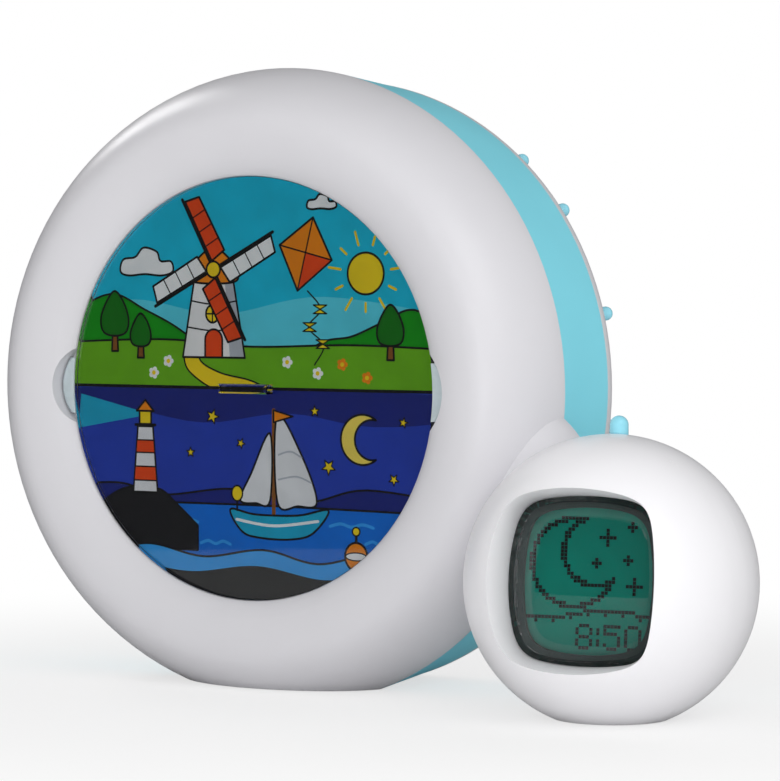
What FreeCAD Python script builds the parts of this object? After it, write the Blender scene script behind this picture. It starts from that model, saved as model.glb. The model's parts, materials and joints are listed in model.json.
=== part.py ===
import FreeCAD, Part
import math
import os

Vector = FreeCAD.Vector

# All sizes are in millimetres. The front faces -Y, +Z is up, and the origin lies on the
# flat base, under the axis of the ring, in the plane where the ring meets the drum.

# Round housing
axis_z = 85.0                  # axis of the ring above the flat base
ring_r = 91.1                  # ring where it meets the drum
crown_r = 74.5                 # radius of the ring's foremost line
ring_depth = 23.9              # foremost line in front of the drum
lip_depth = 18.4               # edge of the picture opening in front of the drum
picture_r = 60.0               # picture opening
crown_power = 1.45             # slackness of the ring's section, 1 is an ellipse
wall = 2.4                     # moulded wall of the housing
drum_depth = 30.8
drum_rear_r = 88.9
cover_depth = 8.0
shoulder_r = 7.0               # rounding of the rear cover
fit_gap = 0.15                 # clearance between moulded parts that plug together
spigot_length = 3.0
spigot_wall = 1.3

# Ribs and bosses of the ring
rib_count = 12
rib_wall = 1.6
rib_setback = 12.0             # rear edge of the ribs in front of the drum
boss_circle_r = 79.0
boss_r = 4.5
boss_angles = (72.0, 140.0, 218.0, 322.0)
over = 1.0                     # length by which a cutting shape runs past the solid
housing_screw_r = 1.5
housing_screw_length = 20.0
housing_head_r = 2.8
housing_head_height = 2.2
housing_head_seat = 8.0        # head seat behind the ring
pilot_gap = 0.05
hole_gap = 0.25

# Picture disc and its finger tabs
lens_setback = 0.5             # lens face behind the edge of the opening
lens_thickness = 2.0
lens_gap = 0.25                # lens to opening
lens_rest_gap = 0.1            # lens to picture card
card_thickness = 0.35
diffuser_thickness = 1.7
ledge_width = 4.5
notch_r = 12.8
notch_reach = 4.8              # notch beyond the opening
notch_wall = 1.6
tab_gap = 0.3
tab_height = 16.0
tab_bevel = 1.2
tab_flare = 1.2                # widening of the tab behind its bevel
tab_inner_x = 57.0             # inner end of the tab from the ring's axis
tab_lens_gap = 0.1
ridge_width = 16.2
ridge_height = 2.8
ridge_proud = 3.6
ridge_rounding = 1.1

# Light box and lamp boards
box_r = 58.0
box_wall = 1.5
box_depth = 20.0
flange_r = 69.0
flange_screw_circle_r = 65.8
flange_screw_angles = (45.0, 135.0, 225.0, 315.0)
flange_boss_r = 3.0
small_screw_r = 1.0
small_screw_length = 6.0
small_head_r = 2.0
small_head_height = 1.3
lamp_board_width = 62.0
lamp_board_height = 24.0
lamp_board_thickness = 1.6
lamp_board_offset = 27.0       # centre above or below the axis
lamp_size = 3.5
lamp_thickness = 1.4
lamp_window_r = 1.26
lamp_window_depth = 0.42
lamp_columns = 4
lamp_rows = 2

# Main board
board_width = 92.0
board_height = 52.0
board_thickness = 1.6
board_lift = 31.0              # centre above the axis
board_standoff = 3.0
standoff_r = 3.0
board_margin = 4.0             # screws in from the board's edges
board_screw_inset = 8.0        # lower screws further in from the sides, upper screws from the top
chip_places = (                # left, right, bottom and top from the board's centre, and height
    (-10.0, 4.0, -14.0, 0.0, 1.8),
    (14.0, 24.0, -10.0, -2.0, 1.6),
    (-38.0, -30.0, -6.0, 4.0, 5.0),
    (30.0, 38.0, -8.0, 6.0, 4.0),
)
capacitor_r = 3.2
capacitor_height = 7.0
capacitor_spread = 26.0        # centres from the board's centre
capacitor_drop = 18.0

# Speaker
speaker_lift = 42.0            # centre above the axis
speaker_r = 18.0
speaker_magnet_r = 11.0
speaker_depth = 14.0
speaker_rim = 2.5
speaker_step = 1.0             # basket in from the rim and out from the magnet
speaker_bowl_r = 5.0
speaker_bowl_depth = 3.0
grille_r = 14.0
grille_pitch = 4.2
grille_slot = 2.0
grille_slots = 7

# Battery bay
cell_r = 7.25
cell_length = 49.2
cell_nub_r = 2.75
cell_nub_length = 1.3
cell_gap = 0.5
cells = 3
bay_z = 50.0
bay_end_space = 4.0            # room for contacts at each end
bay_wall = 1.6
bay_floor_gap = 0.3
inner_root = 0.5               # inner walls run this far into the cover's wall
door_thickness = 2.0
door_rebate = 1.8
door_gap = 0.3
lug_width = 8.0
lug_reach = 2.4
lug_thickness = 1.4
lug_spread = 17.0              # lug centres from the middle
lug_side_gap = 0.5
lug_end_gap = 1.0
riser_setback = 0.2
groove_count = 5               # grip grooves across the door
groove_half = 8.0
groove_drop = 12.0             # middle groove below the door's upper edge
groove_pitch = 2.4
groove_width = 1.0
groove_depth = 0.5
contact_width = 9.0
contact_thickness = 0.4
contact_gap = 0.3              # tongue to cell
tongue_width = 4.0
door_screw_r = 1.25
door_head_r = 2.5
door_head_height = 1.2
door_screw_length = 7.0
door_screw_margin = 1.0        # screw head to the door's upper edge
door_screw_room = 0.6          # play of the captive screw in its boss
door_ear_wall = 1.2
driver_slot_width = 0.7
driver_slot_depth = 0.6

# Buttons on the shoulder
button_angles = (49.0, 36.0, 14.2, -7.4)
button_tilt = 25.0
button_r = 2.0
button_proud = 4.6
button_flange_r = 3.9
button_flange = 1.1
button_travel = 1.2
button_gap = 0.2
pocket_wall = 1.3
pocket_bore_r = 4.6
pocket_board_r = 5.6
pocket_ceiling = 4.2           # flat ceiling from the rounding's centre line
pocket_entry = 5.0             # room kept free behind the pocket
switch_size = 5.0
switch_height = 2.1
switch_cap_r = 1.4
switch_cap_height = 0.63
key_board_thickness = 1.2
stem_r = 1.5

# Ball unit
ball_x = 115.2
ball_y = -20.4
ball_z = 36.0
ball_r = 39.2
ball_wall = 2.2
seam_offset = 6.6              # seam in front of the ball's centre
ball_gap = 0.2                 # ball to neck
neck_r = 30.2
neck_distance = 78.0           # neck centre from the ring's axis
neck_depth = 19.0
cable_hole_r = 5.0
cable_depth = 8.0              # cable hole in front of the drum
mount_screw_spread = 11.0
mount_pad_r = 3.6
mount_screw_r = 1.2
mount_screw_length = 13.0
mount_seat = 82.0              # head seat from the ring's axis
mount_grip = 97.5              # end of the ball's bosses from the ring's axis
mount_head_height = 1.6
neck_hole_start = 70.0         # holes through the neck, from the ring's axis
neck_hole_end = 120.0
ball_hole_end = 110.0
seam_screw_angles = (0.0, 110.0, 235.0)
seam_screw_circle_r = 32.5
seam_boss_r = 2.6
seam_well_r = 3.7
seam_head_seat = 5.0           # head seat behind the ball's centre
seam_screw_bite = 6.0

# Display window of the ball
window_yaw = 6.5
window_tilt = 5.3
window_power = 8.0             # squareness of the window's corners, 2 is a circle
window_bow = 2.2               # bow of the window's sides
window_half = 21.5
window_taller = 0.65           # taller and slimmer than a square by this
flare = 4.0                    # widening of the window, scaled at each depth
flare_outside = 2.6            # share of the flare outside the skin
flare_skin = 0.62
flare_middle = 0.16
flare_over = 3.0               # the funnel starts this far outside the ball
window_wall = 1.8
window_floor = 16.5            # rear end of the window's tube from the ball's centre
pane_edge = 21.2               # edge of the display lens from the ball's centre
pane_rise = 5.0                # bulge of the display lens
pane_wall = 1.6
pane_gap = 0.2
frame_plate = 1.5
frame_step = 1.5
frame_half = 23.6
frame_corner = 4.0
display_half = 19.4
display_rim = 3.2              # frame's step outside its opening
display_gap = 0.2
backlight_thickness = 2.2
backlight_half = 19.8
corner_boss_r = 2.6
corner_boss_spread = 21.0
frame_screw_bite = 3.0
ball_board_thickness = 1.6

# Button on the ball
top_button_r = 2.5
top_button_back = 4.7          # behind the ball's centre
top_button_proud = 5.0
top_flange_r = 4.0
top_flange = 1.2
top_flange_drop = 3.6          # flange below the ball's skin
top_key_board_width = 11.0
shelf_thickness = 1.6
top_switch_room = 8.0          # free height below the flange

# Cable between the main board and the ball
cable_r = 1.5
cable_bend_r = 6.0
cable_bend_share = 0.45        # share of a straight run that a bend may take
cable_lift = 6.0               # start and first bend above the ball's centre
cable_start_x = 12.0           # start beside the ball's centre
cable_start_gap = 4.0          # start behind the ball board
cable_turn_x = 14.0            # first bend beside the ball's centre
cable_turn_y = 2.0             # first bend in front of the cable hole
cable_far = 90.0               # straight run through the neck, from the ring's axis
cable_near = 78.0
cable_inner_x = 62.0           # bend inside the drum
cable_inner_z = 63.0
cable_end_x = 44.0
cable_end_lift = 8.0           # end above the ring's axis

# Screw heads
recess_share = 0.35            # recess radius in the head's radius
recess_floor = 0.45            # rest of the head below the recess

# Worked out from the sizes above
far = 300.0
lip_y = -lip_depth
crown_y = -ring_depth
lens_front = lip_y + lens_setback
lens_back = lens_front + lens_thickness
card_front = lens_back + lens_rest_gap
card_back = card_front + card_thickness
seat_y = card_back + diffuser_thickness
ledge_back = seat_y + wall
ledge_r = picture_r - ledge_width
lens_r = picture_r - lens_gap
notch_x = picture_r + notch_reach - notch_r
box_front = ledge_back
box_back = box_front + box_depth
board_front = box_back + board_standoff
cover_front = drum_depth
cover_back = drum_depth + cover_depth
cover_inside = cover_back - wall
shoulder_circle_r = drum_rear_r - shoulder_r
shoulder_y = cover_back - shoulder_r
drum_rear_inside_r = drum_rear_r - wall
ball_centre = Vector(ball_x, ball_y, ball_z)
seam_y = ball_y - seam_offset
ball_inside_r = ball_r - ball_wall
to_ball = Vector(ball_x, 0, ball_z - axis_z).normalize()
across = Vector(-to_ball.z, 0, to_ball.x)
bay_half_width = cell_length / 2 + cell_nub_length / 2 + bay_end_space
bay_half_height = cells * (cell_r + cell_gap / 2) + cell_gap
bay_back = cover_back - door_thickness
bay_front = bay_back - 2 * cell_r - 2 * bay_floor_gap
door_half_width = bay_half_width + door_rebate
door_half_height = bay_half_height + door_rebate
door_screw_z = bay_z + door_half_height + door_head_r + door_screw_margin
door_ear = door_head_r + door_ear_wall
door_bottom = bay_z - door_half_height
hinge_y = bay_back + door_thickness / 2
hinge_z = door_bottom + door_thickness / 2
board_seat = pocket_ceiling - button_flange - button_travel - switch_height - 3 * button_gap
pocket_end = board_seat - 2 * key_board_thickness
step_front = window_floor + frame_step
frame_back = window_floor - frame_plate
board_face = frame_back - backlight_thickness
top_button_spot = Vector(ball_x, ball_y + top_button_back, 0)
skin_top = ball_z + math.sqrt(ball_r ** 2 - top_button_back ** 2)
flange_top = skin_top - top_flange_drop
key_board_top = flange_top - top_flange - 2 * button_gap - button_travel - switch_height


def save(name, shape):
    os.makedirs("parts", exist_ok=True)
    shape.exportStep("parts/" + name + ".step")
    print(name, "solids", len(shape.Solids), "volume", round(shape.Volume), "valid", shape.isValid())


def group(shapes):
    return Part.makeCompound(shapes)


def rod(start, direction, radius, low, high):
    """Cylinder about a line, between two distances from the start point."""
    unit = Vector(direction).normalize()
    return Part.makeCylinder(radius, high - low, start + unit * low, unit)


def rod_y(x, z, radius, front, back):
    return rod(Vector(x, 0, z), Vector(0, 1, 0), radius, front, back)


def block(x0, x1, y0, y1, z0, z1):
    return Part.makeBox(x1 - x0, y1 - y0, z1 - z0, Vector(x0, y0, z0))


def above(shape, height):
    return shape.common(block(-far, far, -far, far, height, far))


def at_angle(radius, degrees, y=0.0):
    """Point at a radius from the ring's axis, counted from +X towards +Z."""
    turn = math.radians(degrees)
    return Vector(radius * math.cos(turn), y, axis_z + radius * math.sin(turn))


def spun(edges):
    """Solid turned about the ring's axis from a closed outline in radius and depth."""
    face = Part.Face(Part.Wire(edges))
    return face.revolve(Vector(0, 0, axis_z), Vector(0, 1, 0), 360)


def in_section(radius, y):
    return Vector(radius, y, axis_z)


def run(points):
    return [Part.LineSegment(a, b).toShape() for a, b in zip(points, points[1:])]


def ring_curve(outer_r, foremost_y, inner_r, inner_y):
    """Rounded front of the ring from its rear edge over the crown to the opening."""
    steps = 9
    points = []
    sides = ((outer_r, 0.0, range(steps + 1)), (inner_r, inner_y, range(steps - 1, -1, -1)))
    for side_r, side_y, order in sides:
        for step in order:
            turn = math.radians(90.0) * step / steps
            rise = math.sin(turn) ** crown_power
            radius = crown_r + (side_r - crown_r) * math.cos(turn)
            points.append(in_section(radius, side_y + (foremost_y - side_y) * rise))
    curve = Part.BSplineCurve()
    curve.interpolate(points)
    return curve.toShape(), points[0], points[-1]


def ring_outside():
    """The ring filled behind its front, from the ledge outwards."""
    curve, first, last = ring_curve(ring_r, crown_y, picture_r, lip_y)
    rest = run([last, in_section(picture_r, seat_y), in_section(ledge_r, seat_y),
                in_section(ledge_r, 0), first])
    return above(spun([curve] + rest), 0.0)


def ring_inside(skin, ledge_y):
    """The room behind the ring's front, a skin thickness away from its surface."""
    curve, first, last = ring_curve(ring_r - skin, crown_y + skin, picture_r + skin, lip_y + skin)
    rest = run([last, in_section(picture_r + skin, ledge_y), in_section(ledge_r - over, ledge_y),
                in_section(ledge_r - over, over), in_section(ring_r - skin, over), first])
    return above(spun([curve] + rest), skin)


def neck_lobe():
    """Rounded lobe at the side of the ring that carries the ball."""
    middle = Vector(0, 0, axis_z) + to_ball * neck_distance
    arc = Part.Ellipse(Vector(0, 0, 0), neck_r, neck_depth)
    edge = Part.ArcOfEllipse(arc, -math.pi / 2, 0).toShape()
    outline = [edge] + run([Vector(neck_r, 0, 0), Vector(0, 0, 0), Vector(0, -neck_depth, 0)])
    lobe = Part.Face(Part.Wire(outline)).revolve(Vector(0, 0, 0), Vector(0, 1, 0), 360)
    lobe.translate(middle)
    return lobe


def mount_points():
    middle = Vector(0, -cable_depth, axis_z)
    return [middle + across * (side * mount_screw_spread) for side in (-1, 1)]


def front_ring():
    outside = ring_outside()
    lobe = above(neck_lobe(), 0.0).cut(rod_y(0, axis_z, crown_r, -far, far))
    ring = outside.fuse(lobe).cut(ring_inside(wall, ledge_back))
    core = ring_inside(wall / 2, ledge_back - wall / 2)

    # Spigot that plugs into the drum
    spigot_r = ring_r - wall - fit_gap - (ring_r - drum_rear_r) * spigot_length / drum_depth
    root = rod_y(0, axis_z, ring_r - wall / 2, -spigot_length, 0).common(outside)
    plug = rod_y(0, axis_z, spigot_r, -spigot_length, spigot_length)
    bore = rod_y(0, axis_z, spigot_r - spigot_wall, -far, far)
    ring = ring.fuse(above(root.fuse(plug).cut(bore), wall + fit_gap))

    # Ribs, screw bosses and pockets behind the notches
    for number in range(rib_count):
        rib = block(picture_r + wall / 2, ring_r, crown_y, -rib_setback,
                    axis_z - rib_wall / 2, axis_z + rib_wall / 2)
        rib.rotate(Vector(0, 0, axis_z), Vector(0, 1, 0), 360.0 * (number + 0.5) / rib_count)
        ring = ring.fuse(rib.common(core))
    for angle in boss_angles:
        spot = at_angle(boss_circle_r, angle)
        boss = rod_y(spot.x, spot.z, boss_r, crown_y, 0)
        web = block(boss_circle_r, ring_r, crown_y, -over, axis_z - rib_wall / 2, axis_z + rib_wall / 2)
        web.rotate(Vector(0, 0, axis_z), Vector(0, 1, 0), -angle)
        ring = ring.fuse(boss.fuse(web).common(core))
    for angle in flange_screw_angles:
        spot = at_angle(flange_screw_circle_r, angle)
        ring = ring.fuse(rod_y(spot.x, spot.z, flange_boss_r, crown_y, ledge_back).common(core))
    for side in (-1, 1):
        pocket_back = lens_back + notch_wall + tab_gap
        pocket = rod_y(side * notch_x, axis_z, notch_r + notch_wall, crown_y, pocket_back)
        ring = ring.fuse(pocket.common(core))
    for point in mount_points():
        pad = rod(point, to_ball, mount_pad_r, mount_seat, ring_r)
        ring = ring.fuse(pad.common(core))

    # Holes
    for angle in boss_angles:
        spot = at_angle(boss_circle_r, angle)
        depth = housing_screw_length - housing_head_seat + over
        ring = ring.cut(rod_y(spot.x, spot.z, housing_screw_r + pilot_gap, -depth, over))
    for angle in flange_screw_angles:
        spot = at_angle(flange_screw_circle_r, angle)
        ring = ring.cut(rod_y(spot.x, spot.z, small_screw_r + pilot_gap, ledge_back - small_screw_length, 0))
    for side in (-1, 1):
        ring = ring.cut(rod_y(side * notch_x, axis_z, notch_r, -far, lens_back + tab_gap))
    for point in mount_points():
        ring = ring.cut(rod(point, to_ball, mount_screw_r + hole_gap, neck_hole_start, neck_hole_end))
    cable_line = Vector(0, -cable_depth, axis_z)
    ring = ring.cut(rod(cable_line, to_ball, cable_hole_r, neck_hole_start, neck_hole_end))
    return ring.cut(Part.makeSphere(ball_r + ball_gap, ball_centre))


def drum_casing():
    outside = Part.makeCone(ring_r, drum_rear_r, drum_depth, Vector(0, 0, axis_z), Vector(0, 1, 0))
    inside = Part.makeCone(ring_r - wall, drum_rear_inside_r, drum_depth, Vector(0, 0, axis_z),
                           Vector(0, 1, 0))
    return above(outside, 0.0).cut(above(inside, wall))


def cover_solid(offset):
    """The rear cover filled, drawn in by an offset."""
    edge_r = drum_rear_r - offset
    back_y = cover_back - offset
    turn = shoulder_r - offset
    diagonal = turn * math.sqrt(0.5)
    corner = Part.Arc(in_section(edge_r, shoulder_y),
                      in_section(shoulder_circle_r + diagonal, shoulder_y + diagonal),
                      in_section(shoulder_circle_r, back_y)).toShape()
    rest = run([in_section(shoulder_circle_r, back_y), in_section(0, back_y), in_section(0, cover_front),
                in_section(edge_r, cover_front), in_section(edge_r, shoulder_y)])
    return spun([corner] + rest)


def button_line(angle):
    """Start point on the rounding's centre line and outward direction of a rear button."""
    tilt = math.radians(button_tilt)
    turn = math.radians(angle)
    start = at_angle(shoulder_circle_r, angle, shoulder_y)
    return start, Vector(math.sin(tilt) * math.cos(turn), math.cos(tilt), math.sin(tilt) * math.sin(turn))


def door_outline(grow, front, back):
    plate = block(-door_half_width - grow, door_half_width + grow, front, back,
                  bay_z - door_half_height - grow, bay_z + door_half_height + grow)
    return plate.fuse(rod_y(0, door_screw_z - door_screw_margin, door_ear + grow, front, back))


def rear_cover():
    inside = above(cover_solid(wall), wall)
    cover = above(cover_solid(0.0), 0.0).cut(inside)
    room = rod_y(0, axis_z, drum_rear_inside_r - fit_gap, 0, cover_front)
    solid = cover_solid(inner_root).fuse(room)

    # Spigot that plugs into the drum
    spigot = rod_y(0, axis_z, drum_rear_inside_r - fit_gap, cover_front - spigot_length, cover_front)
    root = rod_y(0, axis_z, drum_rear_inside_r + wall / 2, cover_front, shoulder_y)
    bore = rod_y(0, axis_z, drum_rear_inside_r - fit_gap - spigot_wall, -far, far)
    cover = cover.fuse(above(spigot.fuse(root).cut(bore), wall + fit_gap))

    # Screw wells
    for angle in boss_angles:
        spot = at_angle(boss_circle_r, angle)
        cover = cover.fuse(rod_y(spot.x, spot.z, boss_r, fit_gap, cover_inside + wall / 2))

    # Button pockets
    for angle in button_angles:
        start, out = button_line(angle)
        pocket = rod(start, out, pocket_board_r + pocket_wall, pocket_end, shoulder_r)
        cover = cover.fuse(pocket.common(solid))

    # Speaker collar and battery bay
    speaker_z = axis_z + speaker_lift
    root_end = cover_inside + inner_root
    collar = rod_y(0, speaker_z, speaker_r + fit_gap + rib_wall, cover_inside - speaker_rim, root_end)
    cover = cover.fuse(collar.cut(rod_y(0, speaker_z, speaker_r + fit_gap, 0, cover_inside)))
    bay = block(-bay_half_width - bay_wall, bay_half_width + bay_wall, bay_front - bay_wall, root_end,
                bay_z - bay_half_height - bay_wall, bay_z + bay_half_height + bay_wall)
    frame = door_outline(door_gap + bay_wall, bay_back - bay_wall, root_end)
    screw_boss = rod_y(0, door_screw_z, door_ear, bay_back - door_screw_length - bay_wall, root_end)
    cover = cover.fuse([bay, frame, screw_boss])

    # Holes
    for angle in boss_angles:
        spot = at_angle(boss_circle_r, angle)
        cover = cover.cut(rod_y(spot.x, spot.z, housing_screw_r + hole_gap, 0, far))
        cover = cover.cut(rod_y(spot.x, spot.z, housing_head_r + hole_gap, housing_head_seat, far))
    for angle in button_angles:
        start, out = button_line(angle)
        cover = cover.cut(rod(start, out, pocket_bore_r, pocket_end - pocket_entry, pocket_ceiling))
        cover = cover.cut(rod(start, out, pocket_board_r, pocket_end - pocket_entry, board_seat))
        cover = cover.cut(rod(start, out, button_r + button_gap, 0, 3 * shoulder_r))
    middle = (grille_slots - 1) / 2
    for number in range(grille_slots):
        rise = (number - middle) * grille_pitch
        half = math.sqrt(grille_r ** 2 - rise ** 2) - grille_slot / 2 if abs(rise) < grille_r else 0
        ends = [rod_y(side * half, speaker_z + rise, grille_slot / 2, cover_inside - over, far)
                for side in (-1, 1)]
        bar = block(-half, half, cover_inside - over, far, speaker_z + rise - grille_slot / 2,
                    speaker_z + rise + grille_slot / 2)
        cover = cover.cut(bar.fuse(ends))
    cover = cover.cut(block(-bay_half_width, bay_half_width, bay_front, far,
                            bay_z - bay_half_height, bay_z + bay_half_height))
    cover = cover.cut(door_outline(door_gap, bay_back, far))
    screw_hole_end = bay_back - door_screw_length
    cover = cover.cut(rod_y(0, door_screw_z, door_screw_r + door_screw_room, screw_hole_end, far))
    for side in (-1, 1):
        middle_x = side * lug_spread
        half_slot = lug_width / 2 + lug_side_gap
        slot = block(middle_x - half_slot, middle_x + half_slot,
                     bay_back - 3 * lug_thickness - lug_reach, bay_back,
                     door_bottom - door_gap - lug_reach - lug_end_gap, bay_z - bay_half_height)
        cover = cover.cut(slot)
    return cover


def battery_door():
    door = door_outline(0.0, bay_back, cover_back).cut(block(-far, far, -far, far, -far, hinge_z))
    hinge = Vector(0, hinge_y, hinge_z)
    door = door.fuse(rod(hinge, Vector(1, 0, 0), door_thickness / 2, -door_half_width, door_half_width))
    door = door.cut(rod_y(0, door_screw_z, door_screw_r + fit_gap, 0, far))
    door = door.cut(rod_y(0, door_screw_z, door_head_r + fit_gap, cover_back - door_head_height, far))
    for side in (-1, 1):
        x0 = side * lug_spread - lug_width / 2
        x1 = side * lug_spread + lug_width / 2
        top = bay_z - bay_half_height - fit_gap
        lug_back = bay_back - door_gap
        lug = block(x0, x1, lug_back - lug_thickness, lug_back, door_bottom - lug_reach, top)
        riser = block(x0, x1, lug_back - lug_thickness, hinge_y, door_bottom + riser_setback, top)
        door = door.fuse([lug, riser])
    for number in range(groove_count):
        z = bay_z + door_half_height - groove_drop + (number - (groove_count - 1) / 2) * groove_pitch
        groove = block(-groove_half, groove_half, cover_back - groove_depth, far,
                       z - groove_width / 2, z + groove_width / 2)
        door = door.cut(groove)
    return door


def battery_door_screw():
    seat = cover_back - door_head_height
    head = rod_y(0, door_screw_z, door_head_r, seat, cover_back)
    slot = block(-far, far, cover_back - driver_slot_depth, far,
                 door_screw_z - driver_slot_width / 2, door_screw_z + driver_slot_width / 2)
    return head.cut(slot).fuse(rod_y(0, door_screw_z, door_screw_r, cover_back - door_screw_length, seat))


def cell_heights():
    pitch = 2 * cell_r + cell_gap
    return [bay_z + (number - (cells - 1) / 2) * pitch for number in range(cells)]


def battery_cells():
    y = bay_front + bay_floor_gap + cell_r
    shapes = []
    for number, z in enumerate(cell_heights()):
        side = 1 if number % 2 == 0 else -1
        start = Vector(-side * (cell_length + cell_nub_length) / 2, y, z)
        cell = rod(start, Vector(side, 0, 0), cell_r, 0, cell_length)
        nub = rod(start, Vector(side, 0, 0), cell_nub_r, cell_length, cell_length + cell_nub_length)
        shapes.append(cell.fuse(nub))
    return group(shapes)


def battery_contacts():
    """Bent strip at each end of each cell: a foot on the bay's wall and a bowed tongue."""
    y = bay_front + bay_floor_gap + cell_r
    half = contact_width / 2
    shapes = []
    for z in cell_heights():
        for side in (-1, 1):
            wall_x = side * bay_half_width
            face_x = wall_x - side * contact_thickness
            tip_x = side * ((cell_length + cell_nub_length) / 2 + contact_gap)
            foot = block(min(wall_x, face_x), max(wall_x, face_x), y - half, y + half, z - half, z + half)
            foot_z = z - tongue_width / 2
            low, high = Vector(face_x, y - half, foot_z), Vector(face_x, y + half, foot_z)
            peak = Vector(tip_x, y, foot_z)
            thick = Vector(side * contact_thickness, 0, 0)
            front = Part.Arc(low, peak, high).toShape()
            back = Part.Arc(low + thick, peak + thick, high + thick).toShape()
            ends = run([low, low + thick]) + run([high, high + thick])
            section = Part.Face(Part.Wire(Part.__sortEdges__([front, back] + ends)))
            tongue = section.extrude(Vector(0, 0, tongue_width))
            shapes.append(foot.fuse(tongue))
    return group(shapes)


def picture_lens():
    lens = rod_y(0, axis_z, lens_r, lens_front, lens_back)
    ridge = block(-ridge_width / 2, ridge_width / 2, lens_front - ridge_proud, lens_front,
                  axis_z - ridge_height / 2, axis_z + ridge_height / 2)
    outer = [e for e in ridge.Edges if e.BoundBox.YMax < lens_front - ridge_proud / 2]
    ridge = ridge.makeFillet(ridge_rounding, outer)
    return lens.fuse(ridge)


def lens_tabs():
    shapes = []
    for side in (-1, 1):
        tab = rod_y(side * notch_x, axis_z, notch_r - tab_gap, lip_y, lens_back)
        ends = sorted((side * tab_inner_x, side * far))
        keep = block(ends[0], ends[1], -far, far, axis_z - tab_height / 2, axis_z + tab_height / 2)
        tab = tab.common(keep).cut(rod_y(0, axis_z, lens_r + tab_lens_gap, -far, far))
        tab_r = notch_r - tab_gap
        cone = Part.makeCone(tab_r - tab_bevel, tab_r + tab_flare, tab_bevel + tab_flare,
                             Vector(side * notch_x, lip_y, axis_z), Vector(0, 1, 0))
        body = rod_y(side * notch_x, axis_z, notch_r, lip_y + tab_bevel, lens_back)
        shapes.append(tab.common(cone.fuse(body)))
    return group(shapes)


def light_box():
    flange = rod_y(0, axis_z, flange_r, box_front, box_front + box_wall)
    cup = rod_y(0, axis_z, box_r, box_front, box_back)
    hollow = rod_y(0, axis_z, box_r - box_wall, box_front - over, box_back - box_wall)
    shape = flange.fuse(cup).cut(hollow)
    divider = block(-far, far, seat_y, box_back - box_wall / 2, axis_z - box_wall / 2, axis_z + box_wall / 2)
    shape = shape.fuse(divider.common(rod_y(0, axis_z, ledge_r - fit_gap, seat_y, box_front)
                                      .fuse(rod_y(0, axis_z, box_r - box_wall / 2, box_front, box_back))))
    for x, z in board_screw_spots():
        shape = shape.fuse(rod_y(x, z, standoff_r, box_back - box_wall / 2, board_front))
    for angle in flange_screw_angles:
        spot = at_angle(flange_screw_circle_r, angle)
        shape = shape.cut(rod_y(spot.x, spot.z, small_screw_r + hole_gap, -far, box_front + box_wall + over))
    for x, z in board_screw_spots():
        shape = shape.cut(rod_y(x, z, small_screw_r + pilot_gap, box_back - box_wall, far))
    return shape


def board_screw_spots():
    """Two screws low at the sides and two high nearer the middle, inside the round housing."""
    x = board_width / 2 - board_margin - board_screw_inset
    low = axis_z + board_lift - board_height / 2 + board_margin
    high = axis_z + board_lift + board_height / 2 - board_margin - board_screw_inset
    return [(-x, low), (x, low), (-x / 2, high), (x / 2, high)]


def lamp_board(side):
    z = axis_z + side * lamp_board_offset
    back = box_back - box_wall
    return block(-lamp_board_width / 2, lamp_board_width / 2, back - lamp_board_thickness, back,
                 z - lamp_board_height / 2, z + lamp_board_height / 2)


def lamps(side):
    z = axis_z + side * lamp_board_offset
    face = box_back - box_wall - lamp_board_thickness
    shapes = []
    for column in range(lamp_columns):
        for row in range(lamp_rows):
            x = ((column + 0.5) / lamp_columns - 0.5) * lamp_board_width
            height = z + ((row + 0.5) / lamp_rows - 0.5) * lamp_board_height
            base = block(x - lamp_size / 2, x + lamp_size / 2, face - lamp_thickness, face,
                         height - lamp_size / 2, height + lamp_size / 2)
            window_back = face - lamp_thickness + lamp_window_depth
            shapes.append(base.cut(rod_y(x, height, lamp_window_r, -far, window_back)))
    return group(shapes)


def main_board():
    z = axis_z + board_lift
    board = block(-board_width / 2, board_width / 2, board_front, board_front + board_thickness,
                  z - board_height / 2, z + board_height / 2)
    for x, height in board_screw_spots():
        board = board.cut(rod_y(x, height, small_screw_r + hole_gap, 0, far))
    return board


def main_board_chips():
    z = axis_z + board_lift
    face = board_front + board_thickness
    chips = [block(left, right, face, face + height, z + bottom, z + top)
             for left, right, bottom, top, height in chip_places]
    chips += [rod_y(side * capacitor_spread, z - capacitor_drop, capacitor_r, face, face + capacitor_height)
              for side in (-1, 1)]
    return group(chips)


def screw(start, direction, shank_r, length, head_r, head_height):
    """Pan-headed screw: head towards the start's rear, shank along the direction."""
    head = rod(start, direction, head_r, -head_height, 0)
    recess = rod(start, direction, head_r * recess_share, -head_height - over, -head_height * recess_floor)
    return head.cut(recess).fuse(rod(start, direction, shank_r, 0, length))


def housing_screws():
    forward = Vector(0, -1, 0)
    shapes = []
    for angle in boss_angles:
        seat = at_angle(boss_circle_r, angle, housing_head_seat)
        shapes.append(screw(seat, forward, housing_screw_r, housing_screw_length, housing_head_r,
                            housing_head_height))
    return group(shapes)


def light_box_screws():
    shapes = []
    for angle in flange_screw_angles:
        seat = at_angle(flange_screw_circle_r, angle, box_front + box_wall)
        shapes.append(screw(seat, Vector(0, -1, 0), small_screw_r, small_screw_length, small_head_r,
                            small_head_height))
    return group(shapes)


def board_screws():
    shapes = []
    for x, z in board_screw_spots():
        seat = Vector(x, board_front + board_thickness, z)
        shapes.append(screw(seat, Vector(0, -1, 0), small_screw_r, board_thickness + board_standoff,
                            small_head_r, small_head_height))
    return group(shapes)


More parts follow.
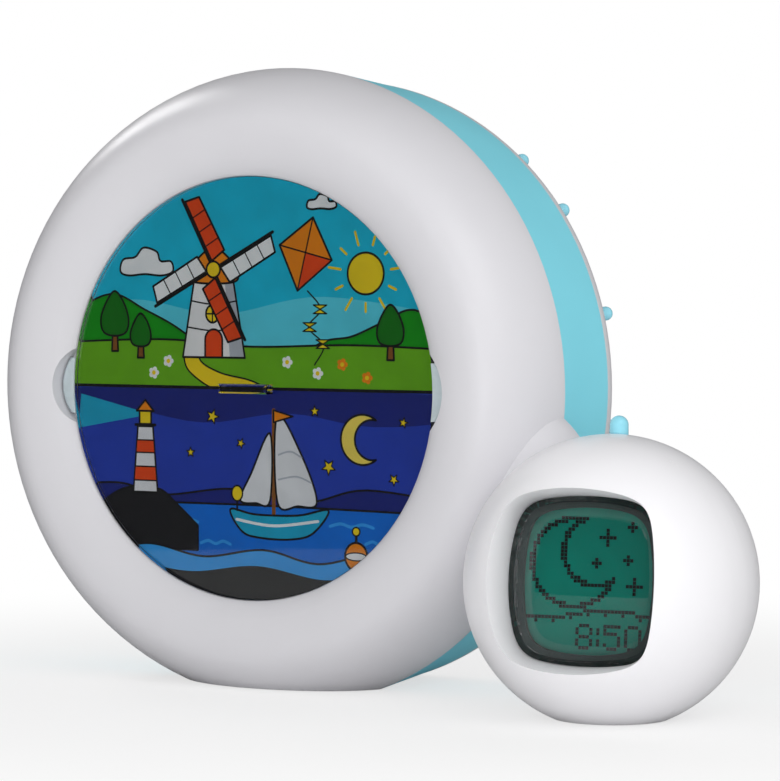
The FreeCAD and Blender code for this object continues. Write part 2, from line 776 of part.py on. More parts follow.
def speaker():
    z = axis_z + speaker_lift
    back = cover_inside
    rim = rod_y(0, z, speaker_r, back - speaker_rim, back)
    basket = Part.makeCone(speaker_magnet_r + speaker_step, speaker_r - speaker_step,
                           speaker_depth / 2 - speaker_rim / 2,
                           Vector(0, back - speaker_depth / 2 - speaker_rim / 2, z), Vector(0, 1, 0))
    magnet = rod_y(0, z, speaker_magnet_r, back - speaker_depth, back - speaker_depth / 2)
    bowl = Part.makeCone(speaker_bowl_r, speaker_r - speaker_bowl_depth, speaker_bowl_depth,
                         Vector(0, back - speaker_bowl_depth, z), Vector(0, 1, 0))
    return rim.fuse([basket, magnet]).cut(bowl)


def rear_button(angle):
    start, out = button_line(angle)
    top = pocket_ceiling - button_gap
    shapes = [rod(start, out, button_flange_r, top - button_flange, top),
              rod(start, out, stem_r, top - button_flange - button_gap, top),
              Part.makeSphere(button_r, start + out * (shoulder_r + button_proud - button_r))]
    return rod(start, out, button_r, top, shoulder_r + button_proud - button_r).fuse(shapes)


def rear_key_boards():
    shapes = []
    for angle in button_angles:
        start, out = button_line(angle)
        shapes.append(rod(start, out, pocket_board_r - fit_gap, board_seat - key_board_thickness, board_seat))
    return group(shapes)


def key_switch(start, out):
    body_height = switch_height - switch_cap_height
    body = Part.makeBox(switch_size, switch_size, body_height, Vector(-switch_size / 2, -switch_size / 2, 0))
    cap = Part.makeCylinder(switch_cap_r, switch_cap_height, Vector(0, 0, body_height))
    shape = body.fuse(cap)
    shape.Placement = FreeCAD.Placement(start, FreeCAD.Rotation(Vector(0, 0, 1), out))
    return shape


def rear_key_switches():
    shapes = []
    for angle in button_angles:
        start, out = button_line(angle)
        shapes.append(key_switch(start + out * board_seat, out))
    return group(shapes)


def seam_spots():
    turns = [math.radians(angle) for angle in seam_screw_angles]
    return [Vector(ball_x + seam_screw_circle_r * math.cos(turn), 0,
                   ball_z + seam_screw_circle_r * math.sin(turn)) for turn in turns]


def window_place(shape):
    """Turn a shape drawn about the ball's centre, facing -Y, to the window's direction."""
    turn = FreeCAD.Rotation(Vector(0, 0, 1), window_yaw).multiply(
        FreeCAD.Rotation(Vector(1, 0, 0), -window_tilt))
    shape.Placement = FreeCAD.Placement(ball_centre, turn).multiply(shape.Placement)
    return shape


def window_outline(half, depth):
    """Closed outline with bowed sides and round corners at a depth from the ball's centre."""
    count = 48
    points = []
    for number in range(count):
        turn = 2 * math.pi * number / count
        cosine, sine = math.cos(turn), math.sin(turn)
        reach = (abs(cosine) ** window_power + abs(sine) ** window_power) ** (-1 / window_power)
        right, up = reach * cosine, reach * sine
        x = right * (half - window_taller - window_bow * up ** 2)
        z = up * (half + window_taller - window_bow * right ** 2)
        points.append(Vector(x, -depth, z))
    curve = Part.BSplineCurve()
    curve.interpolate(Points=points, PeriodicFlag=True)
    return Part.Wire([curve.toShape()])


def window_prism(half, rear, front):
    face = Part.Face(window_outline(half, rear))
    return face.extrude(Vector(0, rear - front, 0))


def window_funnel(grow):
    """Opening of the window, flared towards the ball's skin."""
    skin = math.sqrt(ball_r ** 2 - window_half ** 2)
    stages = ((ball_r + flare_over, flare_outside), (skin, flare_skin),
              ((skin + pane_edge) / 2, flare_middle), (pane_edge, 0.0), (window_floor - over, 0.0))
    outlines = [window_outline(window_half + flare * share + grow, depth) for depth, share in stages]
    return Part.makeLoft(outlines, True, False)


def pane_ball(offset):
    """Sphere that gives the bulge of the display lens."""
    bulge_r = (window_half ** 2 + pane_rise ** 2) / (2 * pane_rise)
    centre_depth = pane_edge + pane_rise - bulge_r
    return Part.makeSphere(bulge_r - offset, Vector(0, -centre_depth, 0))


def lcd_lens():
    outer = window_prism(window_half - pane_gap, step_front, ball_r).common(pane_ball(0.0))
    inner_half = window_half - pane_gap - pane_wall
    inner = window_prism(inner_half, step_front - over, ball_r).common(pane_ball(pane_wall))
    return window_place(outer.cut(inner))


def square(half, rear, front):
    return block(-half, half, -front, -rear, -half, half)


def rounded_square(half, rear, front):
    plate = square(half, rear, front)
    corners = [e for e in plate.Edges if e.BoundBox.YLength > e.BoundBox.XLength + e.BoundBox.ZLength]
    return plate.makeFillet(frame_corner, corners)


def corner_rods(radius, rear, front):
    spots = [(sx * corner_boss_spread, sz * corner_boss_spread) for sx in (-1, 1) for sz in (-1, 1)]
    return [rod_y(x, z, radius, -front, -rear) for x, z in spots]


def lcd_frame():
    shape = rounded_square(frame_half, frame_back, window_floor)
    shape = shape.fuse(window_prism(window_half - pane_gap, window_floor, step_front))
    shape = shape.fuse(corner_rods(corner_boss_r, board_face, frame_back))
    shape = shape.cut(square(display_half + display_gap, frame_back, window_floor))
    shape = shape.cut(window_prism(window_half - display_rim, window_floor, step_front))
    for hole in corner_rods(small_screw_r + hole_gap, 0, step_front + over):
        shape = shape.cut(hole)
    return window_place(shape)


def lcd_glass():
    return window_place(square(display_half, frame_back, window_floor))


def lcd_backlight():
    plate = square(backlight_half, board_face, frame_back)
    for hole in corner_rods(corner_boss_r + display_gap, 0, ball_r):
        plate = plate.cut(hole)
    return window_place(plate)


def ball_board():
    plate = rounded_square(frame_half, board_face - ball_board_thickness, board_face)
    for hole in corner_rods(small_screw_r + hole_gap, 0, ball_r):
        plate = plate.cut(hole)
    return window_place(plate)


def ball_board_screws():
    seat = board_face - ball_board_thickness
    shapes = []
    for sx in (-1, 1):
        for sz in (-1, 1):
            start = Vector(sx * corner_boss_spread, -seat, sz * corner_boss_spread)
            length = ball_board_thickness + backlight_thickness + frame_plate + frame_screw_bite
            shapes.append(screw(start, Vector(0, -1, 0), small_screw_r, length, small_head_r,
                                small_head_height))
    return window_place(group(shapes))


def ball_skin():
    """The ball's inner room with half its wall, and the hollow ball with its flat foot."""
    outer = above(Part.makeSphere(ball_r, ball_centre), 0.0)
    room = above(Part.makeSphere(ball_r - ball_wall / 2, ball_centre), ball_wall / 2)
    return room, outer.cut(above(Part.makeSphere(ball_inside_r, ball_centre), ball_wall))


def ball_front_shell():
    room, skin = ball_skin()
    front_half = block(-far, far, -far, seam_y, -far, far)
    shape = skin.common(front_half)
    tube = window_place(window_funnel(window_wall).cut(square(far / 3, 0, window_floor)))
    bosses = [window_place(boss) for boss in corner_rods(corner_boss_r, window_floor, ball_r)]
    posts = [rod_y(spot.x, spot.z, seam_boss_r, ball_y - ball_r, seam_y) for spot in seam_spots()]
    for piece in [tube] + bosses + posts:
        shape = shape.fuse(piece.common(room).common(front_half))
    shape = shape.cut(window_place(window_funnel(0.0)))
    for hole in corner_rods(small_screw_r + pilot_gap, 0, window_floor + frame_screw_bite + over):
        shape = shape.cut(window_place(hole))
    for spot in seam_spots():
        pilot_end = seam_y - seam_screw_bite - over
        shape = shape.cut(rod_y(spot.x, spot.z, small_screw_r + pilot_gap, pilot_end, seam_y + over))
    return shape


def ball_rear_shell():
    room, skin = ball_skin()
    rear_half = block(-far, far, seam_y, far, -far, far)
    shape = skin.common(rear_half)

    # Spigot that plugs into the front shell
    lip_r = math.sqrt(ball_inside_r ** 2 - (seam_offset + spigot_length) ** 2) - fit_gap
    lip = rod_y(ball_x, ball_z, lip_r, seam_y - spigot_length, seam_y + spigot_wall)
    root = rod_y(ball_x, ball_z, ball_r, seam_y, seam_y + spigot_wall).common(room)
    bore = rod_y(ball_x, ball_z, lip_r - spigot_wall, -far, far)
    lip = above(lip.fuse(root).cut(bore), ball_wall + fit_gap).common(room)
    for spot in seam_spots():
        lip = lip.cut(rod_y(spot.x, spot.z, seam_boss_r + fit_gap, -far, seam_y))
    shape = shape.fuse(lip)

    # Wells, bosses and the shelf of the top switch
    for spot in seam_spots():
        shape = shape.fuse(rod_y(spot.x, spot.z, seam_well_r, seam_y, ball_y + ball_r).common(room))
    for point in mount_points():
        shape = shape.fuse(rod(point, to_ball, mount_pad_r, mount_seat, mount_grip).common(room))
    half = top_key_board_width / 2
    shelf = block(ball_x - half, ball_x + half, ball_y + top_button_back - half, ball_y + ball_r,
                  key_board_top - key_board_thickness - shelf_thickness, key_board_top - key_board_thickness)

    # Holes
    for spot in seam_spots():
        shape = shape.cut(rod_y(spot.x, spot.z, small_screw_r + hole_gap, -far, far))
        shape = shape.cut(rod_y(spot.x, spot.z, small_head_r + hole_gap, ball_y + seam_head_seat, far))
    for point in mount_points():
        shape = shape.cut(rod(point, to_ball, mount_screw_r + pilot_gap, mount_seat, mount_grip - over))
    cable_line = Vector(0, -cable_depth, axis_z)
    shape = shape.cut(rod(cable_line, to_ball, cable_hole_r, neck_hole_start, ball_hole_end))
    spot = top_button_spot
    shape = shape.cut(rod(spot, Vector(0, 0, 1), top_button_r + button_gap, ball_z, far))
    shape = shape.cut(rod(spot, Vector(0, 0, 1), top_flange_r + 2 * button_gap, flange_top - top_switch_room,
                          flange_top + button_gap))
    return shape.fuse(shelf.common(room))


def ball_top_button():
    spot = top_button_spot
    up = Vector(0, 0, 1)
    tip = skin_top + top_button_proud
    pieces = [rod(spot, up, top_flange_r, flange_top - top_flange, flange_top),
              rod(spot, up, stem_r, flange_top - top_flange - button_gap, flange_top),
              Part.makeSphere(top_button_r, spot + up * (tip - top_button_r))]
    return rod(spot, up, top_button_r, flange_top, tip - top_button_r).fuse(pieces)


def ball_key_board():
    spot = top_button_spot
    half = top_key_board_width / 2
    return block(spot.x - half, spot.x + half, spot.y - half, spot.y + half,
                 key_board_top - key_board_thickness, key_board_top)


def ball_key_switch():
    return key_switch(top_button_spot + Vector(0, 0, key_board_top), Vector(0, 0, 1))


def ball_seam_screws():
    length = seam_offset + seam_head_seat + seam_screw_bite
    shapes = []
    for spot in seam_spots():
        seat = Vector(spot.x, ball_y + seam_head_seat, spot.z)
        shapes.append(screw(seat, Vector(0, -1, 0), small_screw_r, length, small_head_r, small_head_height))
    return group(shapes)


def ball_mount_screws():
    shapes = []
    for point in mount_points():
        seat = point + to_ball * mount_seat
        shapes.append(screw(seat, to_ball, mount_screw_r, mount_screw_length, 2 * mount_screw_r,
                            mount_head_height))
    return group(shapes)


def ball_cable():
    """Round cable through the neck, straight runs joined by tangent arcs."""
    hole = Vector(0, -cable_depth, axis_z)
    start_y = ball_y - board_face + ball_board_thickness + cable_start_gap
    end_y = (box_back + board_front) / 2
    points = [Vector(ball_x - cable_start_x, start_y, ball_z + cable_lift),
              Vector(ball_x - cable_turn_x, -cable_depth - cable_turn_y, ball_z + cable_lift),
              hole + to_ball * cable_far,
              hole + to_ball * cable_near,
              Vector(cable_inner_x, end_y, cable_inner_z),
              Vector(cable_end_x, end_y, axis_z + cable_end_lift)]
    edges = []
    last = points[0]
    for before, corner, after in zip(points, points[1:], points[2:]):
        back = (before - corner).normalize()
        ahead = (after - corner).normalize()
        half_turn = math.acos(max(-1.0, min(1.0, -back.dot(ahead)))) / 2
        reach = cable_bend_share * min((before - corner).Length, (after - corner).Length)
        radius = min(cable_bend_r, reach / math.tan(half_turn))
        cut = radius * math.tan(half_turn)
        middle_line = (back + ahead).normalize()
        centre_far = radius / math.cos(half_turn)
        start = corner + back * cut
        end = corner + ahead * cut
        edges += run([last, start])
        edges.append(Part.Arc(start, corner + middle_line * (centre_far - radius), end).toShape())
        last = end
    edges += run([last, points[-1]])
    path = Part.Wire(edges)
    circle = Part.Circle(points[0], points[1] - points[0], cable_r)
    return path.makePipeShell([Part.Wire([circle.toShape()])], True, False)


save("front_ring", front_ring())
save("drum_casing", drum_casing())
save("rear_cover", rear_cover())
save("picture_lens", picture_lens())
save("lens_tabs", lens_tabs())
save("picture_card", rod_y(0, axis_z, lens_r, card_front, card_back))
save("diffuser", rod_y(0, axis_z, lens_r, card_back, seat_y))
save("light_box", light_box())
save("day_lamp_board", lamp_board(1))
save("night_lamp_board", lamp_board(-1))
save("day_lamps", lamps(1))
save("night_lamps", lamps(-1))
save("main_board", main_board())
save("main_board_chips", main_board_chips())
save("speaker", speaker())
save("housing_screws", housing_screws())
save("light_box_screws", light_box_screws())
save("board_screws", board_screws())
save("battery_cells", battery_cells())
save("battery_contacts", battery_contacts())
save("battery_door", battery_door())
save("battery_door_screw", battery_door_screw())
for number, angle in enumerate(button_angles, start=1):
    save("rear_button_" + str(number), rear_button(angle))
save("rear_key_boards", rear_key_boards())
save("rear_key_switches", rear_key_switches())
save("ball_front_shell", ball_front_shell())
save("ball_rear_shell", ball_rear_shell())
save("lcd_lens", lcd_lens())
save("lcd_frame", lcd_frame())
save("lcd_glass", lcd_glass())
save("lcd_backlight", lcd_backlight())
save("ball_board", ball_board())
save("ball_board_screws", ball_board_screws())
save("ball_top_button", ball_top_button())
save("ball_key_board", ball_key_board())
save("ball_key_switch", ball_key_switch())
save("ball_seam_screws", ball_seam_screws())
save("ball_mount_screws", ball_mount_screws())
save("ball_cable", ball_cable())
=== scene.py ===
"""Looks of a round table clock with a lit picture disc and a ball-shaped display.

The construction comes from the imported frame. This file gives every piece its finish, prints the
picture on its card, draws the signs on the display, and sets the camera, floor and lamps.
"""
import json
import math

import bmesh
import bpy
from bpy.props import FloatProperty, FloatVectorProperty, IntProperty, PointerProperty, StringProperty
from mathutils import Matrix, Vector


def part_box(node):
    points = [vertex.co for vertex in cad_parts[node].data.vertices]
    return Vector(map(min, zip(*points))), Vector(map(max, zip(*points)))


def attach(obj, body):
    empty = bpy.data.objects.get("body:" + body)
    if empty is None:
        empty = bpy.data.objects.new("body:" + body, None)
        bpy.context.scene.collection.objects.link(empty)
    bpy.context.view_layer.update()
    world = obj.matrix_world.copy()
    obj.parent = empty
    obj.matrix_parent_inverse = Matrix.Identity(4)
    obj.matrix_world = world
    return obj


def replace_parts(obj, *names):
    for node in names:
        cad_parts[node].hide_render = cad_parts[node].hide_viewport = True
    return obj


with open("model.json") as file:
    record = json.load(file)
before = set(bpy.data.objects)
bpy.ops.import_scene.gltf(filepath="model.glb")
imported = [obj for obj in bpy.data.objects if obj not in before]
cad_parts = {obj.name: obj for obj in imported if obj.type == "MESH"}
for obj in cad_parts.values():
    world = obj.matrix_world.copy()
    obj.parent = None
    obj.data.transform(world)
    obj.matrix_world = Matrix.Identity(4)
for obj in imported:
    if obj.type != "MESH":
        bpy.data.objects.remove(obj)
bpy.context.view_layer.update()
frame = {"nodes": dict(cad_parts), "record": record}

bl_info = {
    "name": "Picture clock dressing",
    "version": (1, 0, 0),
    "blender": (4, 5, 0),
    "location": "View3D > Sidebar > Clock",
    "description": "Finishes, printed picture, display signs and stage of a round picture clock",
    "category": "Object",
}

MM = 0.001
NODES = frame["nodes"]
SLOT_OF = {part["node"]: part["material_slot"] for part in frame["record"]["subparts"]}

# Places read from the frame, in metres
CARD_LOW, CARD_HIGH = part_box("picture_card")
AXIS_X = (CARD_LOW.x + CARD_HIGH.x) / 2
AXIS_Z = (CARD_LOW.z + CARD_HIGH.z) / 2
CARD_RADIUS = (CARD_HIGH.x - CARD_LOW.x) / 2
CARD_FRONT = CARD_LOW.y
CARD_BACK = CARD_HIGH.y


def linear(hex_colour):
    """sRGB hex to linear RGBA."""
    channels = [int(hex_colour[i:i + 2], 16) / 255 for i in (0, 2, 4)]
    return tuple([c / 12.92 if c <= 0.04045 else ((c + 0.055) / 1.055) ** 2.4 for c in channels] + [1.0])


def colour_prop(name, description, hex_colour):
    """Colour setting whose default is given as sRGB hex."""
    return FloatVectorProperty(name=name, description=description, subtype="COLOR", size=4,
                               min=0.0, max=1.0, default=linear(hex_colour))


class ClockFinishSettings(bpy.types.PropertyGroup):
    """Colours of the moulded and clear pieces."""

    # Housing white and ball white are one white ABS: the housing copy is darkened with painted shade, the
    # ball copy is lightened with painted light.
    shell_white_painted_shade: colour_prop("Housing white", "Moulded ring and rear cover", "D9D8DC")
    ball_white_painted_light: colour_prop("Ball white", "Moulded shells of the ball", "F7F6F9")
    band_blue: colour_prop("Band blue", "Drum between ring and rear cover", "8CE9FB")
    pin_blue: colour_prop("Pin blue", "Domed pin buttons", "98E0F2")
    tab_grey: colour_prop("Tab grey", "Frosted finger tabs", "BCC8CC")
    display_green: colour_prop("Display green", "Reflective display", "00C0A8")
    grain_mm: FloatProperty(name="Moulded grain", description="Size of the moulded grain in millimetres",
                            default=0.6, min=0.05, max=3.0)


class ClockPictureSettings(bpy.types.PropertyGroup):
    """Sizes of the printed picture, in millimetres."""

    line_mm: FloatProperty(name="Outline", description="Width of the black outlines", default=0.62,
                           min=0.1, max=2.0)
    middle_mm: FloatProperty(name="Middle line", description="Height of the black line between day and night",
                             default=0.9, min=0.2, max=4.0)
    # Painted glow: the inks give off light of their own colour, standing in for the lamp behind the film.
    painted_glow: FloatProperty(name="Back light", description="Light through the film from behind",
                              default=0.22, min=0.0, max=2.0)
    rays: IntProperty(name="Sun rays", description="Strokes round the sun", default=11, min=4, max=24)


class ClockDisplaySettings(bpy.types.PropertyGroup):
    """Signs on the dot-matrix display."""

    time_text: StringProperty(name="Time", description="Time shown; a digit other than 5 and 8 shows as 0",
                              default="8:50")
    dot_mm: FloatProperty(name="Dot pitch", description="Distance from dot to dot in millimetres",
                          default=0.95, min=0.3, max=2.0)
    dot_share: FloatProperty(name="Dot share", description="Width of a dot in its pitch", default=0.92,
                             min=0.3, max=1.0)


class ClockStageSettings(bpy.types.PropertyGroup):
    """Camera and lamps."""

    focal_mm: FloatProperty(name="Focal length", description="Lens of the camera in millimetres",
                            default=154.0, min=20, max=400)
    key_power: FloatProperty(name="Key lamp", description="Soft lamp at the right", subtype="POWER",
                             default=0.75, min=0.0)
    fill_power: FloatProperty(name="Fill lamp", description="Soft lamp beside the camera", subtype="POWER",
                              default=1.6, min=0.0)
    rim_power: FloatProperty(name="Rim lamp", description="Small lamp at the left rear", subtype="POWER",
                             default=1.1, min=0.0)
    ambient: FloatProperty(name="Room light", description="Soft light from all round", default=0.54, min=0.0)
    lean: FloatProperty(name="Room lean", description="How much brighter the room is at the front right",
                        default=0.5, min=0.0, max=1.0)


# Materials


def add(tree, kind, at=(0, 0), links=None, **settings):
    """Add a node, set its sockets and properties, and link its inputs."""
    node = tree.nodes.new(kind)
    node.location = at
    for key, value in settings.items():
        if hasattr(node, key) and key not in node.inputs:
            setattr(node, key, value)
        else:
            node.inputs[key.replace("_", " ")].default_value = value
    for key, source in (links or {}).items():
        tree.links.new(source, node.inputs[key])
    return node


def start_material(name):
    """Material of that name, new or emptied, with its surface shader and output."""
    material = bpy.data.materials.get(name) or bpy.data.materials.new(name)
    material.use_nodes = True
    tree = material.node_tree
    tree.nodes.clear()
    surface = add(tree, "ShaderNodeBsdfPrincipled", (0, 0))
    output = add(tree, "ShaderNodeOutputMaterial", (400, 0))
    tree.links.new(surface.outputs["BSDF"], output.inputs["Surface"])
    return material, tree, surface


def set_sockets(surface, values):
    """Set inputs of a surface shader by name."""
    for key, value in values.items():
        surface.inputs[key].default_value = value


def mottled(tree, colour, size_mm, spread):
    """The colour with a soft drift in brightness, at a real size."""
    place = add(tree, "ShaderNodeTexCoord", (-1100, 0))
    noise = add(tree, "ShaderNodeTexNoise", (-900, 0), {"Vector": place.outputs["Object"]},
                Scale=1 / (size_mm * MM), Detail=3.0, Roughness=0.55)
    low = [c * (1 - spread) for c in colour[:3]] + [1.0]
    high = [min(1.0, c * (1 + spread)) for c in colour[:3]] + [1.0]
    ramp = add(tree, "ShaderNodeValToRGB", (-650, 0), {"Fac": noise.outputs["Fac"]})
    ramp.color_ramp.elements[0].position = 0.35
    ramp.color_ramp.elements[0].color = low
    ramp.color_ramp.elements[1].position = 0.65
    ramp.color_ramp.elements[1].color = high
    return ramp.outputs["Color"]


def grained(tree, surface, size_mm, depth_mm):
    """Fine moulded or pressed grain as bump."""
    place = add(tree, "ShaderNodeTexCoord", (-1100, -400))
    fine = add(tree, "ShaderNodeTexNoise", (-900, -400), {"Vector": place.outputs["Object"]},
               Scale=1 / (size_mm * MM), Detail=2.0, Roughness=0.6)
    bump = add(tree, "ShaderNodeBump", (-300, -400), {"Height": fine.outputs["Fac"]},
               Distance=depth_mm * MM)
    tree.links.new(bump.outputs["Normal"], surface.inputs["Normal"])


def rough_drift(tree, surface, size_mm, low, high):
    """Shine that drifts between two roughness values, at a real size."""
    place = add(tree, "ShaderNodeTexCoord", (-1100, -800))
    noise = add(tree, "ShaderNodeTexNoise", (-900, -800), {"Vector": place.outputs["Object"]},
                Scale=1 / (size_mm * MM), Detail=2.0)
    spread = add(tree, "ShaderNodeMapRange", (-600, -800), {"Value": noise.outputs["Fac"]},
                 From_Min=0.3, From_Max=0.7, To_Min=low, To_Max=high)
    tree.links.new(spread.outputs["Result"], surface.inputs["Roughness"])


def moulded_abs(name, colour, grain_mm, low=0.30, high=0.38):
    """ABS from a polished mould: an even colour, a soft satin shine, hardly any grain."""
    material, tree, surface = start_material(name)
    tree.links.new(mottled(tree, colour, size_mm=45.0, spread=0.012), surface.inputs["Base Color"])
    set_sockets(surface, {"IOR": 1.53, "Specular IOR Level": 0.5, "Subsurface Weight": 0.08,
                          "Subsurface Radius": (0.004, 0.004, 0.004), "Subsurface Scale": 0.5})
    grained(tree, surface, grain_mm, depth_mm=0.004)
    rough_drift(tree, surface, size_mm=18.0, low=low, high=high)
    return material


def clear_acrylic():
    """Cast acrylic, polished: clear, with sharp reflections."""
    material, tree, surface = start_material("acrylic_clear_polished")
    set_sockets(surface, {"Base Color": linear("FBFDFD"), "IOR": 1.49, "Specular IOR Level": 0.3,
                          "Transmission Weight": 1.0})
    rough_drift(tree, surface, size_mm=25.0, low=0.012, high=0.03)
    return material


def frosted_acrylic(colour):
    """Acrylic with a fine frosted face: grey, cloudy, light passes but nothing shows through."""
    material, tree, surface = start_material("acrylic_frosted_moulded")
    tree.links.new(mottled(tree, colour, size_mm=4.0, spread=0.05), surface.inputs["Base Color"])
    set_sockets(surface, {"IOR": 1.49, "Subsurface Weight": 0.6, "Subsurface Radius": (0.003, 0.003, 0.003),
                          "Subsurface Scale": 0.6})
    grained(tree, surface, size_mm=0.5, depth_mm=0.01)
    rough_drift(tree, surface, size_mm=3.0, low=0.35, high=0.5)
    return material


def printed_film(name, hex_colour, painted_glow=0.0):
    """Screen-printed polyester film: flat ink, faintly uneven, low gloss, and a painted glow in the ink's own
    colour that stands in for light from behind.
    """
    material, tree, surface = start_material(name)
    ink = mottled(tree, linear(hex_colour), size_mm=9.0, spread=0.05)
    tree.links.new(ink, surface.inputs["Base Color"])
    # Painted glow: the ink itself gives off light, in place of the lamp behind the film, which gives none
    # here.
    tree.links.new(ink, surface.inputs["Emission Color"])
    set_sockets(surface, {"IOR": 1.5, "Specular IOR Level": 0.2, "Emission Strength": painted_glow})
    grained(tree, surface, size_mm=0.7, depth_mm=0.003)
    rough_drift(tree, surface, size_mm=6.0, low=0.4, high=0.5)
    return material


def plain_finish(name, hex_colour, rough, metallic=0.0, size_mm=5.0, grain_mm=0.5, depth_mm=0.006,
                 spread=0.05):
    """Plain finish: a faint mottle, fine grain and a small drift in roughness."""
    drift = 0.15
    material, tree, surface = start_material(name)
    tree.links.new(mottled(tree, linear(hex_colour), size_mm, spread), surface.inputs["Base Color"])
    set_sockets(surface, {"Metallic": metallic})
    grained(tree, surface, grain_mm, depth_mm)
    rough_drift(tree, surface, size_mm, rough * (1 - drift), rough * (1 + drift))
    return material


def display_film(colour):
    """Liquid-crystal glass with an anti-glare film: deep green, dull, faintly mottled."""
    material, tree, surface = start_material("lcd_reflective_glass")
    tree.links.new(mottled(tree, colour, size_mm=14.0, spread=0.06), surface.inputs["Base Color"])
    set_sockets(surface, {"IOR": 1.5, "Specular IOR Level": 0.2})
    grained(tree, surface, size_mm=0.4, depth_mm=0.002)
    rough_drift(tree, surface, size_mm=9.0, low=0.36, high=0.46)
    return material


def make_finishes():
    """One material for each slot of the record, brought up to date with the settings."""
    look = bpy.context.scene.clock_finish
    grain = look.grain_mm
    return {
        # Outer mouldings in ABS: even colour, soft satin shine; the drum is duller, the pins glossier.
        # The housing white is darker than the ball's white: painted shade on the same ABS.
        "abs_white": moulded_abs("abs_white_painted_shade", look.shell_white_painted_shade, grain),
        "abs_blue": moulded_abs("abs_blue_moulded", look.band_blue, grain, low=0.36, high=0.46),
        "button_blue": moulded_abs("abs_button_moulded", look.pin_blue, grain, low=0.22, high=0.3),
        # Inner mouldings, left unpolished: flat, with hardly a highlight.
        "abs_inner_white": plain_finish("abs_inner_moulded", "E4E4E2", 0.5),
        # This dark teal is painted shade: it stands in for the shadow and dark refraction round the display's
        # edge, on the frame behind the lens.
        "abs_inner_black": plain_finish("abs_inner_dark_painted_shade", "0A3F3A", 0.5),
        # Lenses and finger tabs: the lenses clear and sharp, the tabs grey and cloudy.
        "acrylic_clear": clear_acrylic(),
        "acrylic_frosted": frosted_acrylic(look.tab_grey),
        # Black backing film of the picture: flat, low gloss.
        "card": printed_film("film_backing_printed", "101014"),
        # Opal acrylic sheet: milky white, half gloss.
        "opal_sheet": plain_finish("acrylic_opal_sheet", "ECECE8", 0.4),
        # Glass-fibre board with solder mask: green, half gloss, fine weave under the mask.
        "circuit_board": plain_finish("fibreglass_solder_mask", "1F5B34", 0.35, grain_mm=0.8, depth_mm=0.01),
        # Moulded lamp body: pale yellow, with a clean shine.
        "lamp_white": plain_finish("lamp_moulded_epoxy", "F2EBD0", 0.3),
        # Chip body of filled epoxy: black and dull.
        "chip_black": plain_finish("epoxy_chip_moulded", "17171A", 0.5),
        # Painted pressed steel: black, duller than the chips.
        "speaker_black": plain_finish("speaker_pressed_steel", "1B1B1E", 0.55),
        # Zinc-plated steel: grey metal with a fine, uneven shine.
        "screw_steel": plain_finish("steel_zinc_plated", "A9ABAF", 0.32, metallic=1.0, size_mm=2.0),
        # Film shrunk on a steel can: dark, fairly glossy.
        "cell_jacket": plain_finish("cell_wrapped_film", "2B3238", 0.35),
        # Nickel-plated spring strip: warm, bright metal.
        "contact_nickel": plain_finish("spring_strip_nickel", "C9C5BC", 0.25, metallic=1.0),
        # Display glass under its anti-glare film: deep green and dull.
        "lcd_green": display_film(look.display_green),
        # Vinyl jacket: black, with a soft highlight along the cable.
        "cable_black": plain_finish("vinyl_cable_extruded", "1A1A1C", 0.45),
    }


def dress_nodes(names, finish=None):
    """Give each node the finish of its slot, or one finish for all of them."""
    finishes = make_finishes()
    for name in names:
        node = NODES[name]
        node.data.materials.clear()
        node.data.materials.append(finish or finishes[SLOT_OF[name]])


# Printed picture: flat inks in thin layers on the card, in millimetres from the disc's centre

DISC_R = CARD_RADIUS / MM
BACKING_MM = 0.06
TINY = 1e-6

# A reach past the disc's edge, where the ends of an area are cut off
WIDE = 70
INKS = {
    "sky": "0FC0E2", "sky_pale": "5AD6EC", "cloud": "F4F6F8", "grass": "6CB414", "leaf": "05960C",
    "leaf_dark": "04720A", "sun": "F4D61C", "orange": "F08A0C", "rust": "EA4A12", "tower": "F2F3F5",
    "shade": "B6BCC6", "timber": "8A5420", "black": "0A0A0C", "night": "2240B4", "night_deep": "15247E",
    "sea": "0070DA", "sea_pale": "34A2F0", "cyan": "16A8CE", "rock": "141419", "sail": "E6E8EC",
    "moon": "F6DE62",
}


